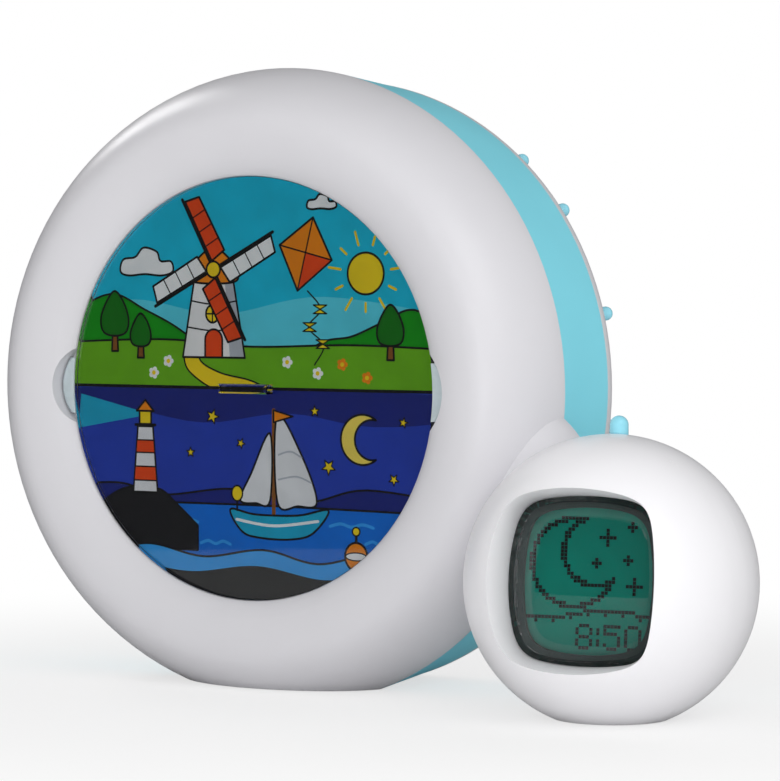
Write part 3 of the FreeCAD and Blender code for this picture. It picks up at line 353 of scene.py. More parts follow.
class Picture:
    """Collects clipped flat shapes; a shape lies one layer above all that it may cover."""

    def __init__(self):
        self.shapes = {}
        self.spans = []
        self.window = []

    def half(self, sign, gap):
        """Clip what follows to the upper or lower half of the disc."""
        steps = 90
        turns = [math.pi * k / steps for k in range(steps + 1)]
        edge = [Vector((DISC_R * math.cos(t), sign * max(gap, DISC_R * math.sin(t)))) for t in turns]
        self.window = edge if sign > 0 else edge[::-1]
        self.spans = []

    def clip(self, points):
        """Cut a polygon by the convex window."""
        shape = [Vector(p) for p in points]
        for k, a in enumerate(self.window):
            side = self.window[(k + 1) % len(self.window)] - a
            if side.length < TINY:
                continue
            normal = Vector((-side.y, side.x))
            result = []
            for i, here in enumerate(shape):
                before = shape[i - 1]
                d_here, d_before = (here - a).dot(normal), (before - a).dot(normal)
                if (d_here >= 0) != (d_before >= 0):
                    result.append(before + (here - before) * (d_before / (d_before - d_here)))
                if d_here >= 0:
                    result.append(here)
            shape = result
        return shape

    def next_layer(self, points, grow=0.0):
        """First layer above all earlier shapes whose outer box meets this one."""
        low_x, high_x = min(p[0] for p in points) - grow, max(p[0] for p in points) + grow
        low_z, high_z = min(p[1] for p in points) - grow, max(p[1] for p in points) + grow
        layer = 1 + max([span[4] for span in self.spans if span[0] < high_x and span[1] > low_x
                         and span[2] < high_z and span[3] > low_z], default=0)
        self.spans.append((low_x, high_x, low_z, high_z, layer))
        return layer

    def put(self, ink, points, layer):
        """Keep the part of a polygon that lies in the window."""
        shape = self.clip(points)
        if len(shape) > 2:
            self.shapes.setdefault(ink, []).append((layer, shape))

    def fill(self, ink, points, line=0.0):
        """Flat area, with a black outline where a line width is given."""
        self.put(ink, points, self.next_layer(points))
        if line > 0:
            self.stroke("black", list(points) + [points[0]], line)

    def stroke(self, ink, points, width):
        """Line of even width through the points, with round joints.

        Neighbours along the line lie a quarter of a layer apart, so that they don't share a plane.
        """
        layer = self.next_layer(points, width / 2)
        line = [Vector(p) for p in points]
        for number, (a, b) in enumerate(zip(line, line[1:])):
            along = b - a
            if along.length < TINY:
                continue
            side = Vector((-along.y, along.x)).normalized() * width / 2
            self.put(ink, [a - side, b - side, b + side, a + side], layer - number % 2 / 4)
        for number, joint in enumerate(line):
            disc = ring_points(joint.x, joint.y, width / 2, width / 2, 8)
            self.put(ink, disc, layer - 1 / 2 - number % 2 / 4)


def ring_points(x, z, wide, high, count=40, start=0.0, stop=360.0):
    """Points round an ellipse, or along an arc of it with both its ends."""
    turns = [math.radians(start + (stop - start) * k / count) for k in range(count + (stop - start < 360))]
    return [(x + wide * math.cos(t), z + high * math.sin(t)) for t in turns]


def rounded(points, steps=8, closed=True):
    """Smooth outline through a few points."""
    count = len(points)
    result = []
    spans = range(count) if closed else range(count - 1)
    for k in spans:
        p = [Vector(points[(k + j) % count] if closed else points[min(max(k + j, 0), count - 1)])
             for j in (-1, 0, 1, 2)]
        for s in range(steps):
            t = s / steps
            bend = (2 * p[0] - 5 * p[1] + 4 * p[2] - p[3]) * t * t
            twist = (3 * p[1] - p[0] - 3 * p[2] + p[3]) * t ** 3
            result.append(tuple(0.5 * ((2 * p[1]) + (p[2] - p[0]) * t + bend + twist)))
    if not closed:
        result.append(tuple(points[-1]))
    return result


def under(curve, low):
    """Closed area below a line that runs from left to right."""
    return list(curve) + [(curve[-1][0], low), (curve[0][0], low)]


def moved(points, x, z, turn=0.0, scale=1.0):
    """Points turned by degrees, scaled and shifted."""
    c, s = math.cos(math.radians(turn)) * scale, math.sin(math.radians(turn)) * scale
    return [(x + px * c - pz * s, z + px * s + pz * c) for px, pz in points]


def star_points(x, z, radius, turn=90.0):
    """Five-pointed star."""
    inner = 0.42 * radius
    points = []
    for k in range(10):
        reach = inner if k % 2 else radius
        angle = math.radians(turn + 36 * k)
        points.append((x + reach * math.cos(angle), z + reach * math.sin(angle)))
    return points


def cloud(picture, x, z, scale, line):
    lobes = [(-9, 0), (-8, 3.6), (-3.6, 4.4), (-0.6, 7.2), (4.2, 6.0), (5.6, 3.2), (9.4, 3.0), (10, 0),
             (6, -1.2), (0, -0.8), (-6, -1.2)]
    picture.fill("cloud", rounded(moved(lobes, x, z, scale=scale)), line)


def leafy_tree(picture, x, z, height, line):
    trunk_top = z + height * 0.5
    trunk = [(x - 1.1, z), (x + 1.1, z), (x + 0.7, trunk_top), (x - 0.7, trunk_top)]
    picture.fill("timber", trunk, line)
    crown = [(-4.6, 0), (-5.8, 4.6), (-3.4, 10.5), (0, 14), (3.6, 10.2), (5.6, 4.4), (4.4, 0), (0, -1.2)]
    picture.fill("leaf_dark", rounded(moved(crown, x, z + height * 0.32, scale=height / 20)), line)


def windmill(picture, x, z, line):
    foot, neck, height = 10.5, 6.6, 22
    body = [(x - foot, z), (x + foot, z), (x + neck, z + height), (x - neck, z + height)]
    picture.fill("tower", body)
    picture.fill("shade", [(x + 5.4, z), (x + foot, z), (x + neck, z + height), (x + 3.8, z + height)])
    picture.stroke("black", body + [body[0]], line)
    for level in (8.0, 15.5):
        half = foot - (foot - neck) * level / height
        course = [(x - half, z + level + 0.6), (x, z + level - 0.4), (x + half, z + level + 0.6)]
        picture.stroke("black", rounded(course, closed=False), line * 0.7)
    cap = [(-8.0, 0), (-6.3, 5.0), (0, 9.2), (6.3, 5.0), (8.0, 0), (0, -1.0)]
    picture.fill("orange", rounded(moved(cap, x, z + height)), line)
    door = ring_points(x, z + 5.0, 2.9, 3.0, 14, 0, 180) + [(x - 2.9, z), (x + 2.9, z)]
    picture.fill("rust", door, line)
    pane_x, pane_z, pane_wide, pane_high = x - 0.4, z + 12.4, 2.2, 2.5
    picture.fill("sun", ring_points(pane_x, pane_z, pane_wide, pane_high, 24), line)
    picture.stroke("black", [(pane_x, pane_z - pane_high), (pane_x, pane_z + pane_high)], line * 0.7)
    picture.stroke("black", [(pane_x - pane_wide, pane_z), (pane_x + pane_wide, pane_z)], line * 0.7)
    hub_z = z + height + 3.0
    blade = [(0.6, 2.4), (5.8, 3.2), (5.4, 20.5), (0.6, 21.5)]
    for quarter in range(4):
        turn = 28 + 90 * quarter
        picture.fill("cloud" if quarter % 2 else "rust", moved(blade, x, hub_z, turn), line)
        picture.stroke("black", moved([(0, 0), (0, 22.5)], x, hub_z, turn), line * 1.5)
        for rung in (7.0, 11.6, 16.2):
            picture.stroke("black", moved([(0.6, rung), (5.6, rung + 0.2)], x, hub_z, turn), line * 0.6)
    picture.fill("sun", ring_points(x, hub_z, 2.3, 2.3, 24), line)


def kite(picture, x, z, line):
    tail = [(1.2, -8.4), (5.5, -13.5), (1.5, -18.5), (6.5, -23.5), (3.5, -29)]
    picture.stroke("black", rounded(moved(tail, x, z), closed=False), line * 0.7)
    for px, pz in ((x + 5.3, z - 13.5), (x + 1.9, z - 18.5), (x + 6.2, z - 23.2)):
        picture.fill("sun", moved([(-2.2, 1.2), (0, 0), (2.2, 1.2)], px, pz), line * 0.6)
        picture.fill("sun", moved([(2.2, -1.2), (0, 0), (-2.2, -1.2)], px, pz), line * 0.6)
    tip, right, tail_end, left, middle = (0, 12.5), (8.8, 2.4), (0, -8.6), (-8.8, 2.4), (0, 2.4)
    lean = -14
    picture.fill("orange", moved([tip, right, tail_end, left], x, z, lean), line)
    picture.fill("rust", moved([middle, right, tail_end], x, z, lean), line * 0.7)
    picture.stroke("black", moved([tip, tail_end], x, z, lean), line * 0.7)
    picture.stroke("black", moved([left, right], x, z, lean), line * 0.7)


def day_picture(picture, settings):
    """Upper half: hills, a windmill, trees and a kite below a sunny sky."""
    line = settings.line_mm
    picture.half(1, settings.middle_mm / 2)
    picture.fill("sky", [(-WIDE, -1), (WIDE, -1), (WIDE, WIDE), (-WIDE, WIDE)])
    haze = rounded([(-WIDE, 21), (-40, 25), (-10, 21), (24, 26), (WIDE, 20)], closed=False)
    picture.fill("sky_pale", under(haze, -1))

    sun_x, sun_z, sun_r = 37.5, 32.5, 5.8
    for k in range(settings.rays):
        turn = 360 * (k + 0.25) / settings.rays
        ray = [(sun_r + 2.4, 0), (sun_r + (6.2 if k % 2 else 4.8), 0)]
        picture.stroke("sun", moved(ray, sun_x, sun_z, turn), line * 1.2)
    picture.fill("sun", ring_points(sun_x, sun_z, sun_r, sun_r, 40), line)

    cloud(picture, -36, 33, 0.95, line)
    cloud(picture, 23.0, 51.0, 0.5, line)

    hill_left = [(-66, 14), (-58, 22.5), (-47, 26.5), (-36, 22), (-26, 17.5), (-15, 11), (-8, 8)]
    hill_right = [(14, 8), (24, 13.5), (33, 15), (43, 19), (53, 22.5), (66, 16)]
    for hill in (hill_left, hill_right):
        picture.fill("leaf", under(rounded(hill, closed=False), -1), line)
    meadow = rounded([(-WIDE, 12.2), (-30, 13.6), (0, 11.8), (34, 12.6), (WIDE, 11.4)], closed=False)
    picture.fill("grass", under(meadow, -1), line)
    path = [(-21, 12.2), (-17.5, 12.4), (-17, 7.6), (-10, 4.2), (0, 2.2), (6, -1), (-10, -1), (-20, 3.8),
            (-22.6, 8.4)]
    picture.fill("sun", rounded(path, 6), line * 0.8)
    leafy_tree(picture, -46.5, 10.0, 17, line)
    leafy_tree(picture, -37.5, 8.2, 12.5, line)
    leafy_tree(picture, 45.5, 8.6, 15, line)
    windmill(picture, -12.5, 8.6, line)
    kite(picture, 17.5, 36.0, line)
    for x, z in ((22, 4.6), (30, 7.2), (38, 3.6), (-33, 4.0), (-28, 7.4), (12, 7.6)):
        for turn in range(0, 360, 72):
            petal = moved([(1.05, 0)], x, z, turn)[0]
            picture.fill("cloud" if x < 30 else "orange", ring_points(*petal, 0.75, 0.75, 12))
        picture.fill("sun", ring_points(x, z, 0.65, 0.65, 12))


def boat(picture, x, z, line):
    picture.stroke("timber", [(x, z + 1), (x, z + 31)], line * 2.0)
    main_sail = [(1.2, 5.2), (1.2, 29.5), (9.5, 18), (14.2, 5.4), (8, 4.2)]
    fore_sail = [(-1.2, 5.6), (-1.2, 24.5), (-7.5, 13), (-11.2, 5.4), (-6, 4.6)]
    for sail in (main_sail, fore_sail):
        picture.fill("sail", rounded(moved(sail, x, z), 7), line)
    for level, reach in ((11.5, 12.4), (18.5, 9.2)):
        crease = [(1.6, level), (reach * 0.6, level + 1.0), (reach, level - 0.6)]
        picture.stroke("shade", rounded(moved(crease, x, z), closed=False), line * 0.8)
    picture.fill("orange", [(x, z + 31), (x + 6.4, z + 29.4), (x, z + 27.6)], line * 0.8)
    hull = [(-14.5, 2.6), (-10.5, -3.6), (-4, -5.2), (6, -5.2), (13, -3.2), (18, 3.4), (8, 1.6), (-6, 1.4)]
    picture.fill("cyan", rounded(moved(hull, x, z), 7), line)
    stripe = [(-12.4, -0.2), (0, -1.6), (14.6, 0.2)]
    picture.stroke("cloud", rounded(moved(stripe, x, z), closed=False), line * 1.3)
    picture.fill("sun", ring_points(x - 12.2, z + 7.2, 1.8, 2.2, 20), line * 0.8)
    picture.stroke("black", [(x - 12.2, z + 4.8), (x - 12.2, z + 2.4)], line)


def lighthouse(picture, x, z, line):
    rock = [(-22, -9), (-12, -1.2), (-4, 1.6), (5, 1.0), (11, -3.2), (18, -9)]
    picture.fill("rock", under(rounded(moved(rock, x, z), closed=False), z - 16), line)
    foot, neck, height = 4.2, 2.6, 19
    picture.fill("sail", [(x - foot, z), (x + foot, z), (x + neck, z + height), (x - neck, z + height)], line)
    for low, high in ((3.4, 7.4), (11.4, 15.0)):
        wide_low, wide_high = [foot - (foot - neck) * level / height for level in (low, high)]
        band = [(-wide_low, low), (wide_low, low), (wide_high, high), (-wide_high, high)]
        picture.fill("rust", moved(band, x, z), line * 0.7)
    picture.fill("sun", moved([(-2.0, 19.6), (2.0, 19.6), (2.0, 23.4), (-2.0, 23.4)], x, z), line)
    picture.fill("orange", moved([(-3.0, 23.4), (3.0, 23.4), (0, 26.6)], x, z), line)
    picture.stroke("black", [(x - 3.4, z + 19.4), (x + 3.4, z + 19.4)], line * 1.4)


def night_picture(picture, settings):
    """Lower half: a boat, a lighthouse and a buoy below a crescent and stars."""
    line = settings.line_mm
    picture.half(-1, settings.middle_mm / 2)
    picture.fill("night", [(-WIDE, 1), (-WIDE, -WIDE), (WIDE, -WIDE), (WIDE, 1)])
    dusk = [(-WIDE, -1), (-WIDE, -9), (-44, -6.5), (-16, -10), (12, -6.8), (40, -10), (WIDE, -7), (WIDE, -1)]
    picture.fill("night_deep", rounded(dusk, 5))
    beam = [(-34.0, -8.0), (-58.5, -2.5), (-59.5, -12.5)]
    picture.fill("cyan", beam)
    outer = ring_points(36.5, -13.6, 7.0, 7.0, 30, 52.0, 308.0)
    inner = ring_points(39.6, -13.6, 5.6, 5.6, 30, 282.5, 77.5)
    picture.fill("moon", outer + inner, line)
    stars = ((-13, -8.2, 2.2), (-3.5, -15.6, 1.5), (21, -6.0, 1.6), (25.5, -21.5, 2.3), (49.5, -8.6, 1.5),
             (46.5, -24.4, 1.7), (-20.5, -18.6, 1.5))
    for x, z, size in stars:
        picture.fill("sun", star_points(x, z, size, 90 + 7 * x), line * 0.55)
    hills = [(-WIDE, -30), (-46, -28), (-30, -31), (-6, -28.6), (18, -31.6), (38, -27.6), (WIDE, -31)]
    picture.fill("night_deep", under(rounded(hills, closed=False), -40), line)
    sea_top = rounded([(-WIDE, -33.6), (0, -33.0), (WIDE, -33.8)], closed=False)
    picture.fill("sea", under(sea_top, -WIDE), line)
    for x, z, half in ((-24, -38.5, 6), (33, -38, 7), (42, -42.6, 4.5), (-12, -44.4, 5)):
        wave = [(-half, 0), (-half / 2, 0.8), (0, 0), (half / 2, 0.8), (half, 0)]
        picture.stroke("sea_pale", rounded(moved(wave, x, z), closed=False), line * 1.4)
    lighthouse(picture, -36, -30.5, line)
    boat(picture, 7.5, -37.0, line)
    swell = [(-WIDE, -44), (-50, -47), (-34, -45.2), (-16, -48.2), (4, -45.6), (22, -48.8), (42, -45.4),
             (WIDE, -49)]
    picture.fill("sea_pale", under(rounded(swell, closed=False), -WIDE), line)
    deep = [(-WIDE, -50), (-40, -50.8), (-20, -52.6), (2, -50.2), (24, -53.2), (44, -50.6), (WIDE, -54)]
    picture.fill("black", under(rounded(deep, closed=False), -WIDE))
    buoy_x, buoy_z = 34.5, -46.2
    picture.fill("orange", ring_points(buoy_x, buoy_z, 3.6, 3.9, 36), line)
    picture.fill("cloud", ring_points(buoy_x, buoy_z, 3.4, 1.1, 24), line * 0.6)
    picture.stroke("black", [(buoy_x, buoy_z + 4.0), (buoy_x, buoy_z + 6.6)], line * 1.4)
    picture.fill("sun", ring_points(buoy_x, buoy_z + 7.0, 1.2, 1.2, 18), line * 0.7)


def finish_mesh(mesh, name, material):
    """Link a piece built with bmesh that stays with the housing."""
    data = bpy.data.meshes.new(name)
    mesh.to_mesh(data)
    mesh.free()
    piece = bpy.data.objects.new(name, data)
    bpy.context.scene.collection.objects.link(piece)
    data.materials.append(material)
    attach(piece, "root")
    return piece


def print_card():
    """Lay the inks in thin layers over the backing that stands for the card."""
    settings = bpy.context.scene.clock_picture
    picture = Picture()
    day_picture(picture, settings)
    night_picture(picture, settings)
    last = max(layer for shapes in picture.shapes.values() for layer, outline in shapes)
    first_y = CARD_BACK - BACKING_MM * MM
    step = (first_y - CARD_FRONT) / (last + 1)
    for ink, shapes in picture.shapes.items():
        mesh = bmesh.new()
        for layer, outline in shapes:
            y = first_y - layer * step
            mesh.faces.new([mesh.verts.new((AXIS_X + p.x * MM, y, AXIS_Z + p.y * MM)) for p in outline])
        mesh.normal_update()
        bmesh.ops.triangulate(mesh, faces=mesh.faces[:])
        mesh.normal_update()
        bmesh.ops.reverse_faces(mesh, faces=[face for face in mesh.faces if face.normal.y > 0])
        # Each ink glows with painted light of its own colour.
        film = printed_film("film_ink_" + ink, INKS[ink], settings.painted_glow)
        piece = finish_mesh(mesh, "picture_ink_" + ink, film)
    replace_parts(card_backing(), "picture_card")


def card_backing():
    """The card itself: a thin black disc with a bevelled edge."""
    count = 160
    mesh = bmesh.new()
    rings = []
    for radius, lift in ((DISC_R, 0.0), (DISC_R, BACKING_MM / 2), (DISC_R - BACKING_MM / 2, BACKING_MM)):
        y = CARD_BACK - lift * MM
        rings.append([mesh.verts.new((AXIS_X + x * MM, y, AXIS_Z + z * MM))
                      for x, z in ring_points(0, 0, radius, radius, count)])
    for near, far in zip(rings, rings[1:]):
        for k in range(count):
            mesh.faces.new((near[k], near[(k + 1) % count], far[(k + 1) % count], far[k]))
    mesh.faces.new(rings[0])
    mesh.faces.new(rings[-1][::-1])
    bmesh.ops.recalc_face_normals(mesh, faces=mesh.faces[:])
    piece = finish_mesh(mesh, "picture_card_film", make_finishes()["card"])
    return piece


# Display signs

GLYPHS = {
    "0": ("01110", "10001", "10001", "10001", "10001", "10001", "01110"),
    "5": ("11111", "10000", "11110", "00001", "00001", "10001", "01110"),
    "8": ("01110", "10001", "10001", "01110", "10001", "10001", "01110"),
    ":": ("0", "1", "1", "0", "1", "1", "0"),
}

# Signs, in dots from the display's centre; a circle is x, z and radius, a star is x, z and arm
MOON_ROUND = (-4.5, 5.0, 12.0)
MOON_BITE = (1.8, 8.2, 9.4)
ARC_HALF_WIDTH = 0.75
ARC_OVERLAP = 0.6
DISPLAY_STARS = ((5, 12, 2), (11, 6, 1), (2, 5, 1), (12, 15, 1), (13, -1, 2))
GROUND_REACH = 18
GROUND_LEVEL = -9.0
GROUND_SWING = 1.4
GROUND_TURN = 0.16
GROUND_START = 0.6
TUFT_STEP = 5
TIME_RIGHT = 17
TIME_TOP = -12
DOT_HEIGHT_MM = 0.02


def display_frame():
    """Centre of the display's front face and its right, up and outward directions."""
    mesh = NODES["lcd_glass"].data
    faces = sorted(mesh.polygons, key=lambda f: f.area, reverse=True)
    forward, same_way = -0.5, 0.999
    out = next(f.normal.copy() for f in faces if f.normal.y < forward)
    front = [f for f in mesh.polygons if f.normal.dot(out) > same_way]
    corners = [mesh.vertices[i].co for f in front for i in f.vertices]
    low = Vector([min(c[i] for c in corners) for i in range(3)])
    high = Vector([max(c[i] for c in corners) for i in range(3)])
    centre = (low + high) / 2
    right = Vector((0, 0, 1)).cross(out).normalized()
    return centre, right, out.cross(right).normalized(), out


def arc_dots(x, z, radius, keep):
    """Dots in a band along a circle, where the test says so."""
    reach = range(-GROUND_REACH, GROUND_REACH + 1)
    return {(px, pz) for px in reach for pz in reach
            if abs(math.hypot(px - x, pz - z) - radius) < ARC_HALF_WIDTH and keep(px, pz)}


def past(circle, px, pz):
    """How far a dot lies outside a circle."""
    return math.hypot(px - circle[0], pz - circle[1]) - circle[2]


def sign_dots(settings):
    """Crescent, stars, a low ground line with tufts, and the time."""
    dots = arc_dots(*MOON_ROUND, lambda px, pz: past(MOON_BITE, px, pz) > -ARC_OVERLAP)
    dots |= arc_dots(*MOON_BITE, lambda px, pz: past(MOON_ROUND, px, pz) < ARC_OVERLAP)
    for x, z, arm in DISPLAY_STARS:
        dots |= {(x + k, z) for k in range(-arm, arm + 1)} | {(x, z + k) for k in range(-arm, arm + 1)}
    for x in range(-GROUND_REACH, GROUND_REACH + 1):
        ground = round(GROUND_LEVEL + GROUND_SWING * math.sin(x * GROUND_TURN + GROUND_START))
        dots |= {(x, ground), (x, ground - 1)} if x % TUFT_STEP == 0 else {(x, ground)}
    columns = []
    for sign in settings.time_text:
        glyph = GLYPHS.get(sign, GLYPHS["0"])
        columns += [[row[c] for row in glyph] for c in range(len(glyph[0]))] + [["0"] * len(glyph)]
    first = TIME_RIGHT - len(columns)
    for c, column in enumerate(columns):
        for r, mark in enumerate(column):
            if mark == "1":
                dots.add((first + c, TIME_TOP - r))
    return dots


def draw_signs():
    """Lay the dots on the front of the display glass as one thin piece."""
    settings = bpy.context.scene.clock_display
    centre, right, up, out = display_frame()
    pitch = settings.dot_mm * MM
    half = pitch * settings.dot_share / 2
    mesh = bmesh.new()
    for x, z in sorted(sign_dots(settings)):
        spot = centre + right * x * pitch + up * z * pitch
        rear = [mesh.verts.new(spot + right * a * half + up * b * half)
                for a, b in ((-1, -1), (1, -1), (1, 1), (-1, 1))]
        front = [mesh.verts.new(v.co + out * DOT_HEIGHT_MM * MM) for v in rear]
        mesh.faces.new(front)
        mesh.faces.new(rear[::-1])
        for k in range(4):
            mesh.faces.new((rear[k], rear[(k + 1) % 4], front[(k + 1) % 4], front[k]))
    bmesh.ops.recalc_face_normals(mesh, faces=mesh.faces[:])
    # Switched crystal: nearly black, unevenly dark from dot to dot.
    material = plain_finish("liquid_crystal_dark", "06191E", 0.3, size_mm=4.0, spread=0.12)
    finish_mesh(mesh, "display_dots", material)


# Stage: place and direction of the camera, fitted to the outlines of the ring, base and ball

CAMERA_AT = Vector((0.50556, -0.81355, 0.11921))
CAMERA_LOOK = Vector((-0.49965, 0.86544, -0.03684))

# Room light: its brighter side, and the share of it that reflections show
BRIGHT_SIDE = Vector((0.85, -0.50, 0.05)).normalized()
MIRRORED_ROOM = 0.12

# Lamps: place, aim and width, in metres
KEY_LAMP = ((0.56, -0.35, 0.50), (0.08, 0, 0.07), 0.5)
FILL_LAMP = ((0.30, -0.62, 0.10), (0.13, -0.03, 0.05), 0.4)
RIM_LAMP = ((-0.58, 0.22, 0.56), (0.0, 0, 0.09), 0.3)

# Floor, in metres: its white share grows from the clock outwards
FLOOR_AT = (0.03, 0.0, -0.0002)
FLOOR_RADIUS = 0.5
FADE_START = 0.10
FADE_END = 0.32
FADE_SHARE = 0.65


def make_camera():
    """Camera of the photograph."""
    settings = bpy.context.scene.clock_stage
    data = bpy.data.cameras.new("photo_camera")
    data.lens = settings.focal_mm
    data.sensor_width = 36.0
    data.clip_start = 0.01
    camera = bpy.data.objects.new("photo_camera", data)
    bpy.context.scene.collection.objects.link(camera)
    camera.location = CAMERA_AT
    camera.rotation_euler = CAMERA_LOOK.to_track_quat("-Z", "Y").to_euler()
    bpy.context.scene.camera = camera


def area_lamp(name, place, target, size, power):
    """Round soft lamp aimed at a point."""
    data = bpy.data.lights.new(name, "AREA")
    data.shape = "DISK"
    data.size = size
    data.energy = power
    lamp = bpy.data.objects.new(name, data)
    bpy.context.scene.collection.objects.link(lamp)
    lamp.location = place
    lamp.rotation_euler = (Vector(target) - Vector(place)).to_track_quat("-Z", "Y").to_euler()
    return lamp


def make_world():
    """White behind the clock, and a soft room, brighter at the front right, dim in reflections."""
    settings = bpy.context.scene.clock_stage
    world = bpy.data.worlds.new("studio")
    world.use_nodes = True
    tree = world.node_tree
    tree.nodes.clear()
    path = add(tree, "ShaderNodeLightPath", (-1000, 0))
    place = add(tree, "ShaderNodeTexCoord", (-1200, -300))
    side = add(tree, "ShaderNodeVectorMath", (-1000, -300), {0: place.outputs["Generated"]},
               operation="DOT_PRODUCT")
    side.inputs[1].default_value = BRIGHT_SIDE
    level = add(tree, "ShaderNodeMapRange", (-800, -300), {"Value": side.outputs["Value"]}, From_Min=-1.0,
                To_Min=settings.ambient * (1 - settings.lean), To_Max=settings.ambient * (1 + settings.lean))
    dim = add(tree, "ShaderNodeMapRange", (-800, 0), {"Value": path.outputs["Is Glossy Ray"]},
              To_Min=1.0, To_Max=MIRRORED_ROOM)
    strength = add(tree, "ShaderNodeMath", (-600, -100),
                   {0: level.outputs["Result"], 1: dim.outputs["Result"]}, operation="MULTIPLY")
    room = add(tree, "ShaderNodeBackground", (-400, -100), {"Strength": strength.outputs["Value"]},
               Color=linear("FFFFFF"))
    white = add(tree, "ShaderNodeBackground", (-400, 100), Color=linear("FFFFFF"), Strength=1.0)
    mix = add(tree, "ShaderNodeMixShader", (-200, 0),
              {0: path.outputs["Is Camera Ray"], 1: room.outputs["Background"],
               2: white.outputs["Background"]})
    output = add(tree, "ShaderNodeOutputWorld", (200, 0))
    tree.links.new(mix.outputs["Shader"], output.inputs["Surface"])
    bpy.context.scene.world = world


def make_floor():
    """Pale round floor whose colour runs out to white, so that no horizon shows."""
    mesh = bmesh.new()
    bmesh.ops.create_circle(mesh, cap_ends=True, segments=96, radius=FLOOR_RADIUS)
    data = bpy.data.meshes.new("floor")
    mesh.to_mesh(data)
    mesh.free()
    floor = bpy.data.objects.new("floor", data)
    bpy.context.scene.collection.objects.link(floor)
    floor.location = FLOOR_AT
    # Painted board: even and matt, a soft contact shadow, and pure white further out.
    material = bpy.data.materials.new("floor_painted_board")
    material.use_nodes = True
    tree = material.node_tree
    tree.nodes.clear()
    place = add(tree, "ShaderNodeTexCoord", (-1000, 0))
    length = add(tree, "ShaderNodeVectorMath", (-800, 0), {0: place.outputs["Object"]}, operation="LENGTH")
    fade = add(tree, "ShaderNodeMapRange", (-600, 0), {"Value": length.outputs["Value"]},
               From_Min=FADE_START, From_Max=FADE_END, To_Min=FADE_SHARE, interpolation_type="SMOOTHSTEP")
    path = add(tree, "ShaderNodeLightPath", (-800, 300))
    share = add(tree, "ShaderNodeMath", (-400, 200),
                {0: path.outputs["Is Camera Ray"], 1: fade.outputs["Result"]}, operation="MULTIPLY")
    paint = add(tree, "ShaderNodeBsdfDiffuse", (-200, 0), Color=linear("F6F6F6"))
    white = add(tree, "ShaderNodeEmission", (-200, 200), Color=linear("FFFFFF"), Strength=1.0)
    mix = add(tree, "ShaderNodeMixShader", (0, 0),
              {0: share.outputs["Value"], 1: paint.outputs["BSDF"], 2: white.outputs["Emission"]})
    output = add(tree, "ShaderNodeOutputMaterial", (200, 0))
    tree.links.new(mix.outputs["Shader"], output.inputs["Surface"])
    data.materials.append(material)
    floor.visible_glossy = False


# Operators

HOUSING_NODES = ("front_ring", "drum_casing", "rear_cover", "battery_door")
BALL_NODES = ("ball_front_shell", "ball_rear_shell")
CLEAR_NODES = ("picture_lens", "lens_tabs", "lcd_lens")
DISPLAY_NODES = ("lcd_glass", "lcd_frame", "lcd_backlight")
BUTTON_NODES = tuple(name for name in NODES if "button" in name)
OUTER_NODES = HOUSING_NODES + BALL_NODES + CLEAR_NODES + DISPLAY_NODES + BUTTON_NODES


class CLOCK_OT_housing(bpy.types.Operator):
    """Finish the ring, drum, rear cover, battery door and ball shells"""

    bl_idname = "clock.housing"
    bl_label = "Dress the housing"

    def execute(self, context):
        settings = context.scene.clock_finish
        dress_nodes(HOUSING_NODES)
        # The ball gets a lighter copy of the white ABS: painted light, so that it shows whiter than the ring.
        dress_nodes(BALL_NODES, moulded_abs("abs_ball_painted_light", settings.ball_white_painted_light, settings.grain_mm))
        return {"FINISHED"}


class CLOCK_OT_clear_pieces(bpy.types.Operator):
    """Finish the picture lens, its finger tabs and the display lens"""

    bl_idname = "clock.clear_pieces"
    bl_label = "Dress the clear pieces"

    def execute(self, context):
        dress_nodes(CLEAR_NODES)
        return {"FINISHED"}


class CLOCK_OT_picture(bpy.types.Operator):
    """Print the day and night picture on its card"""

    bl_idname = "clock.picture"
    bl_label = "Print the picture"

    def execute(self, context):
        print_card()
        return {"FINISHED"}


class CLOCK_OT_display(bpy.types.Operator):
    """Finish the display glass and draw its signs"""

    bl_idname = "clock.display"
    bl_label = "Draw the display"

    def execute(self, context):
        dress_nodes(DISPLAY_NODES)
        draw_signs()
        return {"FINISHED"}


class CLOCK_OT_buttons(bpy.types.Operator):
    """Finish the pin buttons"""

    bl_idname = "clock.buttons"
    bl_label = "Dress the buttons"

    def execute(self, context):
        dress_nodes(BUTTON_NODES)
        return {"FINISHED"}


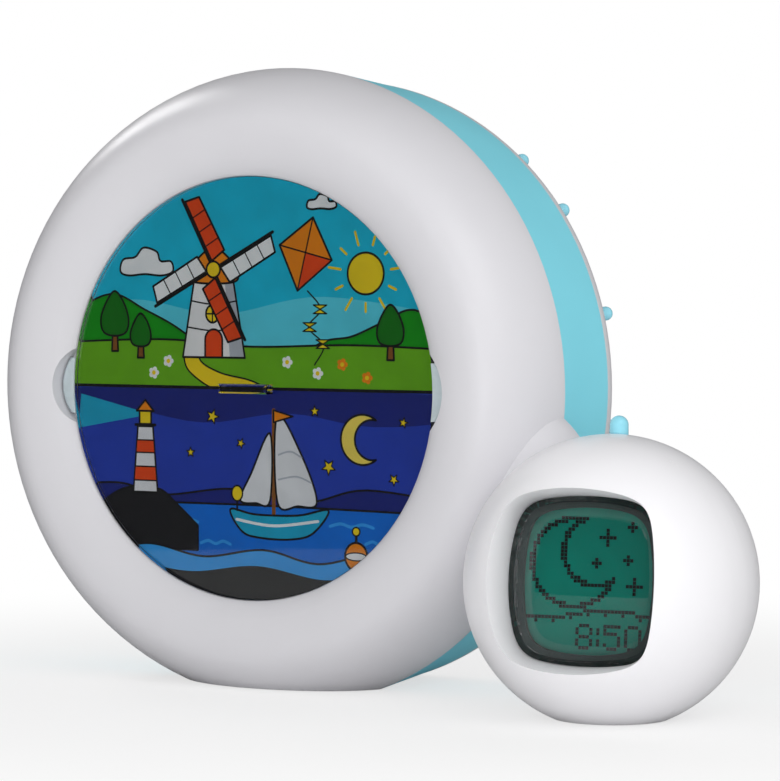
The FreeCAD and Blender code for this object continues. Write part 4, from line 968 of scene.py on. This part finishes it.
class CLOCK_OT_inner_pieces(bpy.types.Operator):
    """Finish what lies inside: boards, lamps, speaker, cells, screws and cable"""

    bl_idname = "clock.inner_pieces"
    bl_label = "Dress the inner pieces"

    def execute(self, context):
        dress_nodes([name for name in NODES if name not in OUTER_NODES])
        return {"FINISHED"}


class CLOCK_OT_stage(bpy.types.Operator):
    """Set the camera, the floor, the room light and the lamps"""

    bl_idname = "clock.stage"
    bl_label = "Set the stage"

    def execute(self, context):
        settings = context.scene.clock_stage
        make_camera()
        make_world()
        make_floor()
        area_lamp("key_lamp", *KEY_LAMP, settings.key_power)
        fill_lamp = area_lamp("fill_lamp", *FILL_LAMP, settings.fill_power)
        fill_lamp.visible_glossy = False
        fill_lamp.visible_transmission = False
        area_lamp("rim_lamp", *RIM_LAMP, settings.rim_power)
        context.scene.view_settings.view_transform = "Standard"
        return {"FINISHED"}


class CLOCK_PT_panel(bpy.types.Panel):
    """Lists the steps of the dressing"""

    bl_idname = "CLOCK_PT_panel"
    bl_label = "Picture clock"
    bl_space_type = "VIEW_3D"
    bl_region_type = "UI"
    bl_category = "Clock"

    def draw(self, context):
        for step in STEPS:
            self.layout.operator(step.bl_idname)


STEPS = (CLOCK_OT_stage, CLOCK_OT_housing, CLOCK_OT_clear_pieces, CLOCK_OT_picture, CLOCK_OT_display,
         CLOCK_OT_buttons, CLOCK_OT_inner_pieces)
GROUPS = {"clock_finish": ClockFinishSettings, "clock_picture": ClockPictureSettings,
          "clock_display": ClockDisplaySettings, "clock_stage": ClockStageSettings}


def register():
    """Add the settings, the steps and the panel."""
    for group in GROUPS.values():
        bpy.utils.register_class(group)
    for name, group in GROUPS.items():
        setattr(bpy.types.Scene, name, PointerProperty(type=group))
    for step in STEPS:
        bpy.utils.register_class(step)
    bpy.utils.register_class(CLOCK_PT_panel)


def unregister():
    """Take the panel, the steps and the settings away again."""
    bpy.utils.unregister_class(CLOCK_PT_panel)
    for step in reversed(STEPS):
        bpy.utils.unregister_class(step)
    for name, group in reversed(list(GROUPS.items())):
        delattr(bpy.types.Scene, name)
        bpy.utils.unregister_class(group)


def main():
    """Run every step in order."""
    register()
    for step in STEPS:
        area, action = step.bl_idname.split(".")
        getattr(getattr(bpy.ops, area), action)()


if __name__ == "__main__":
    main()
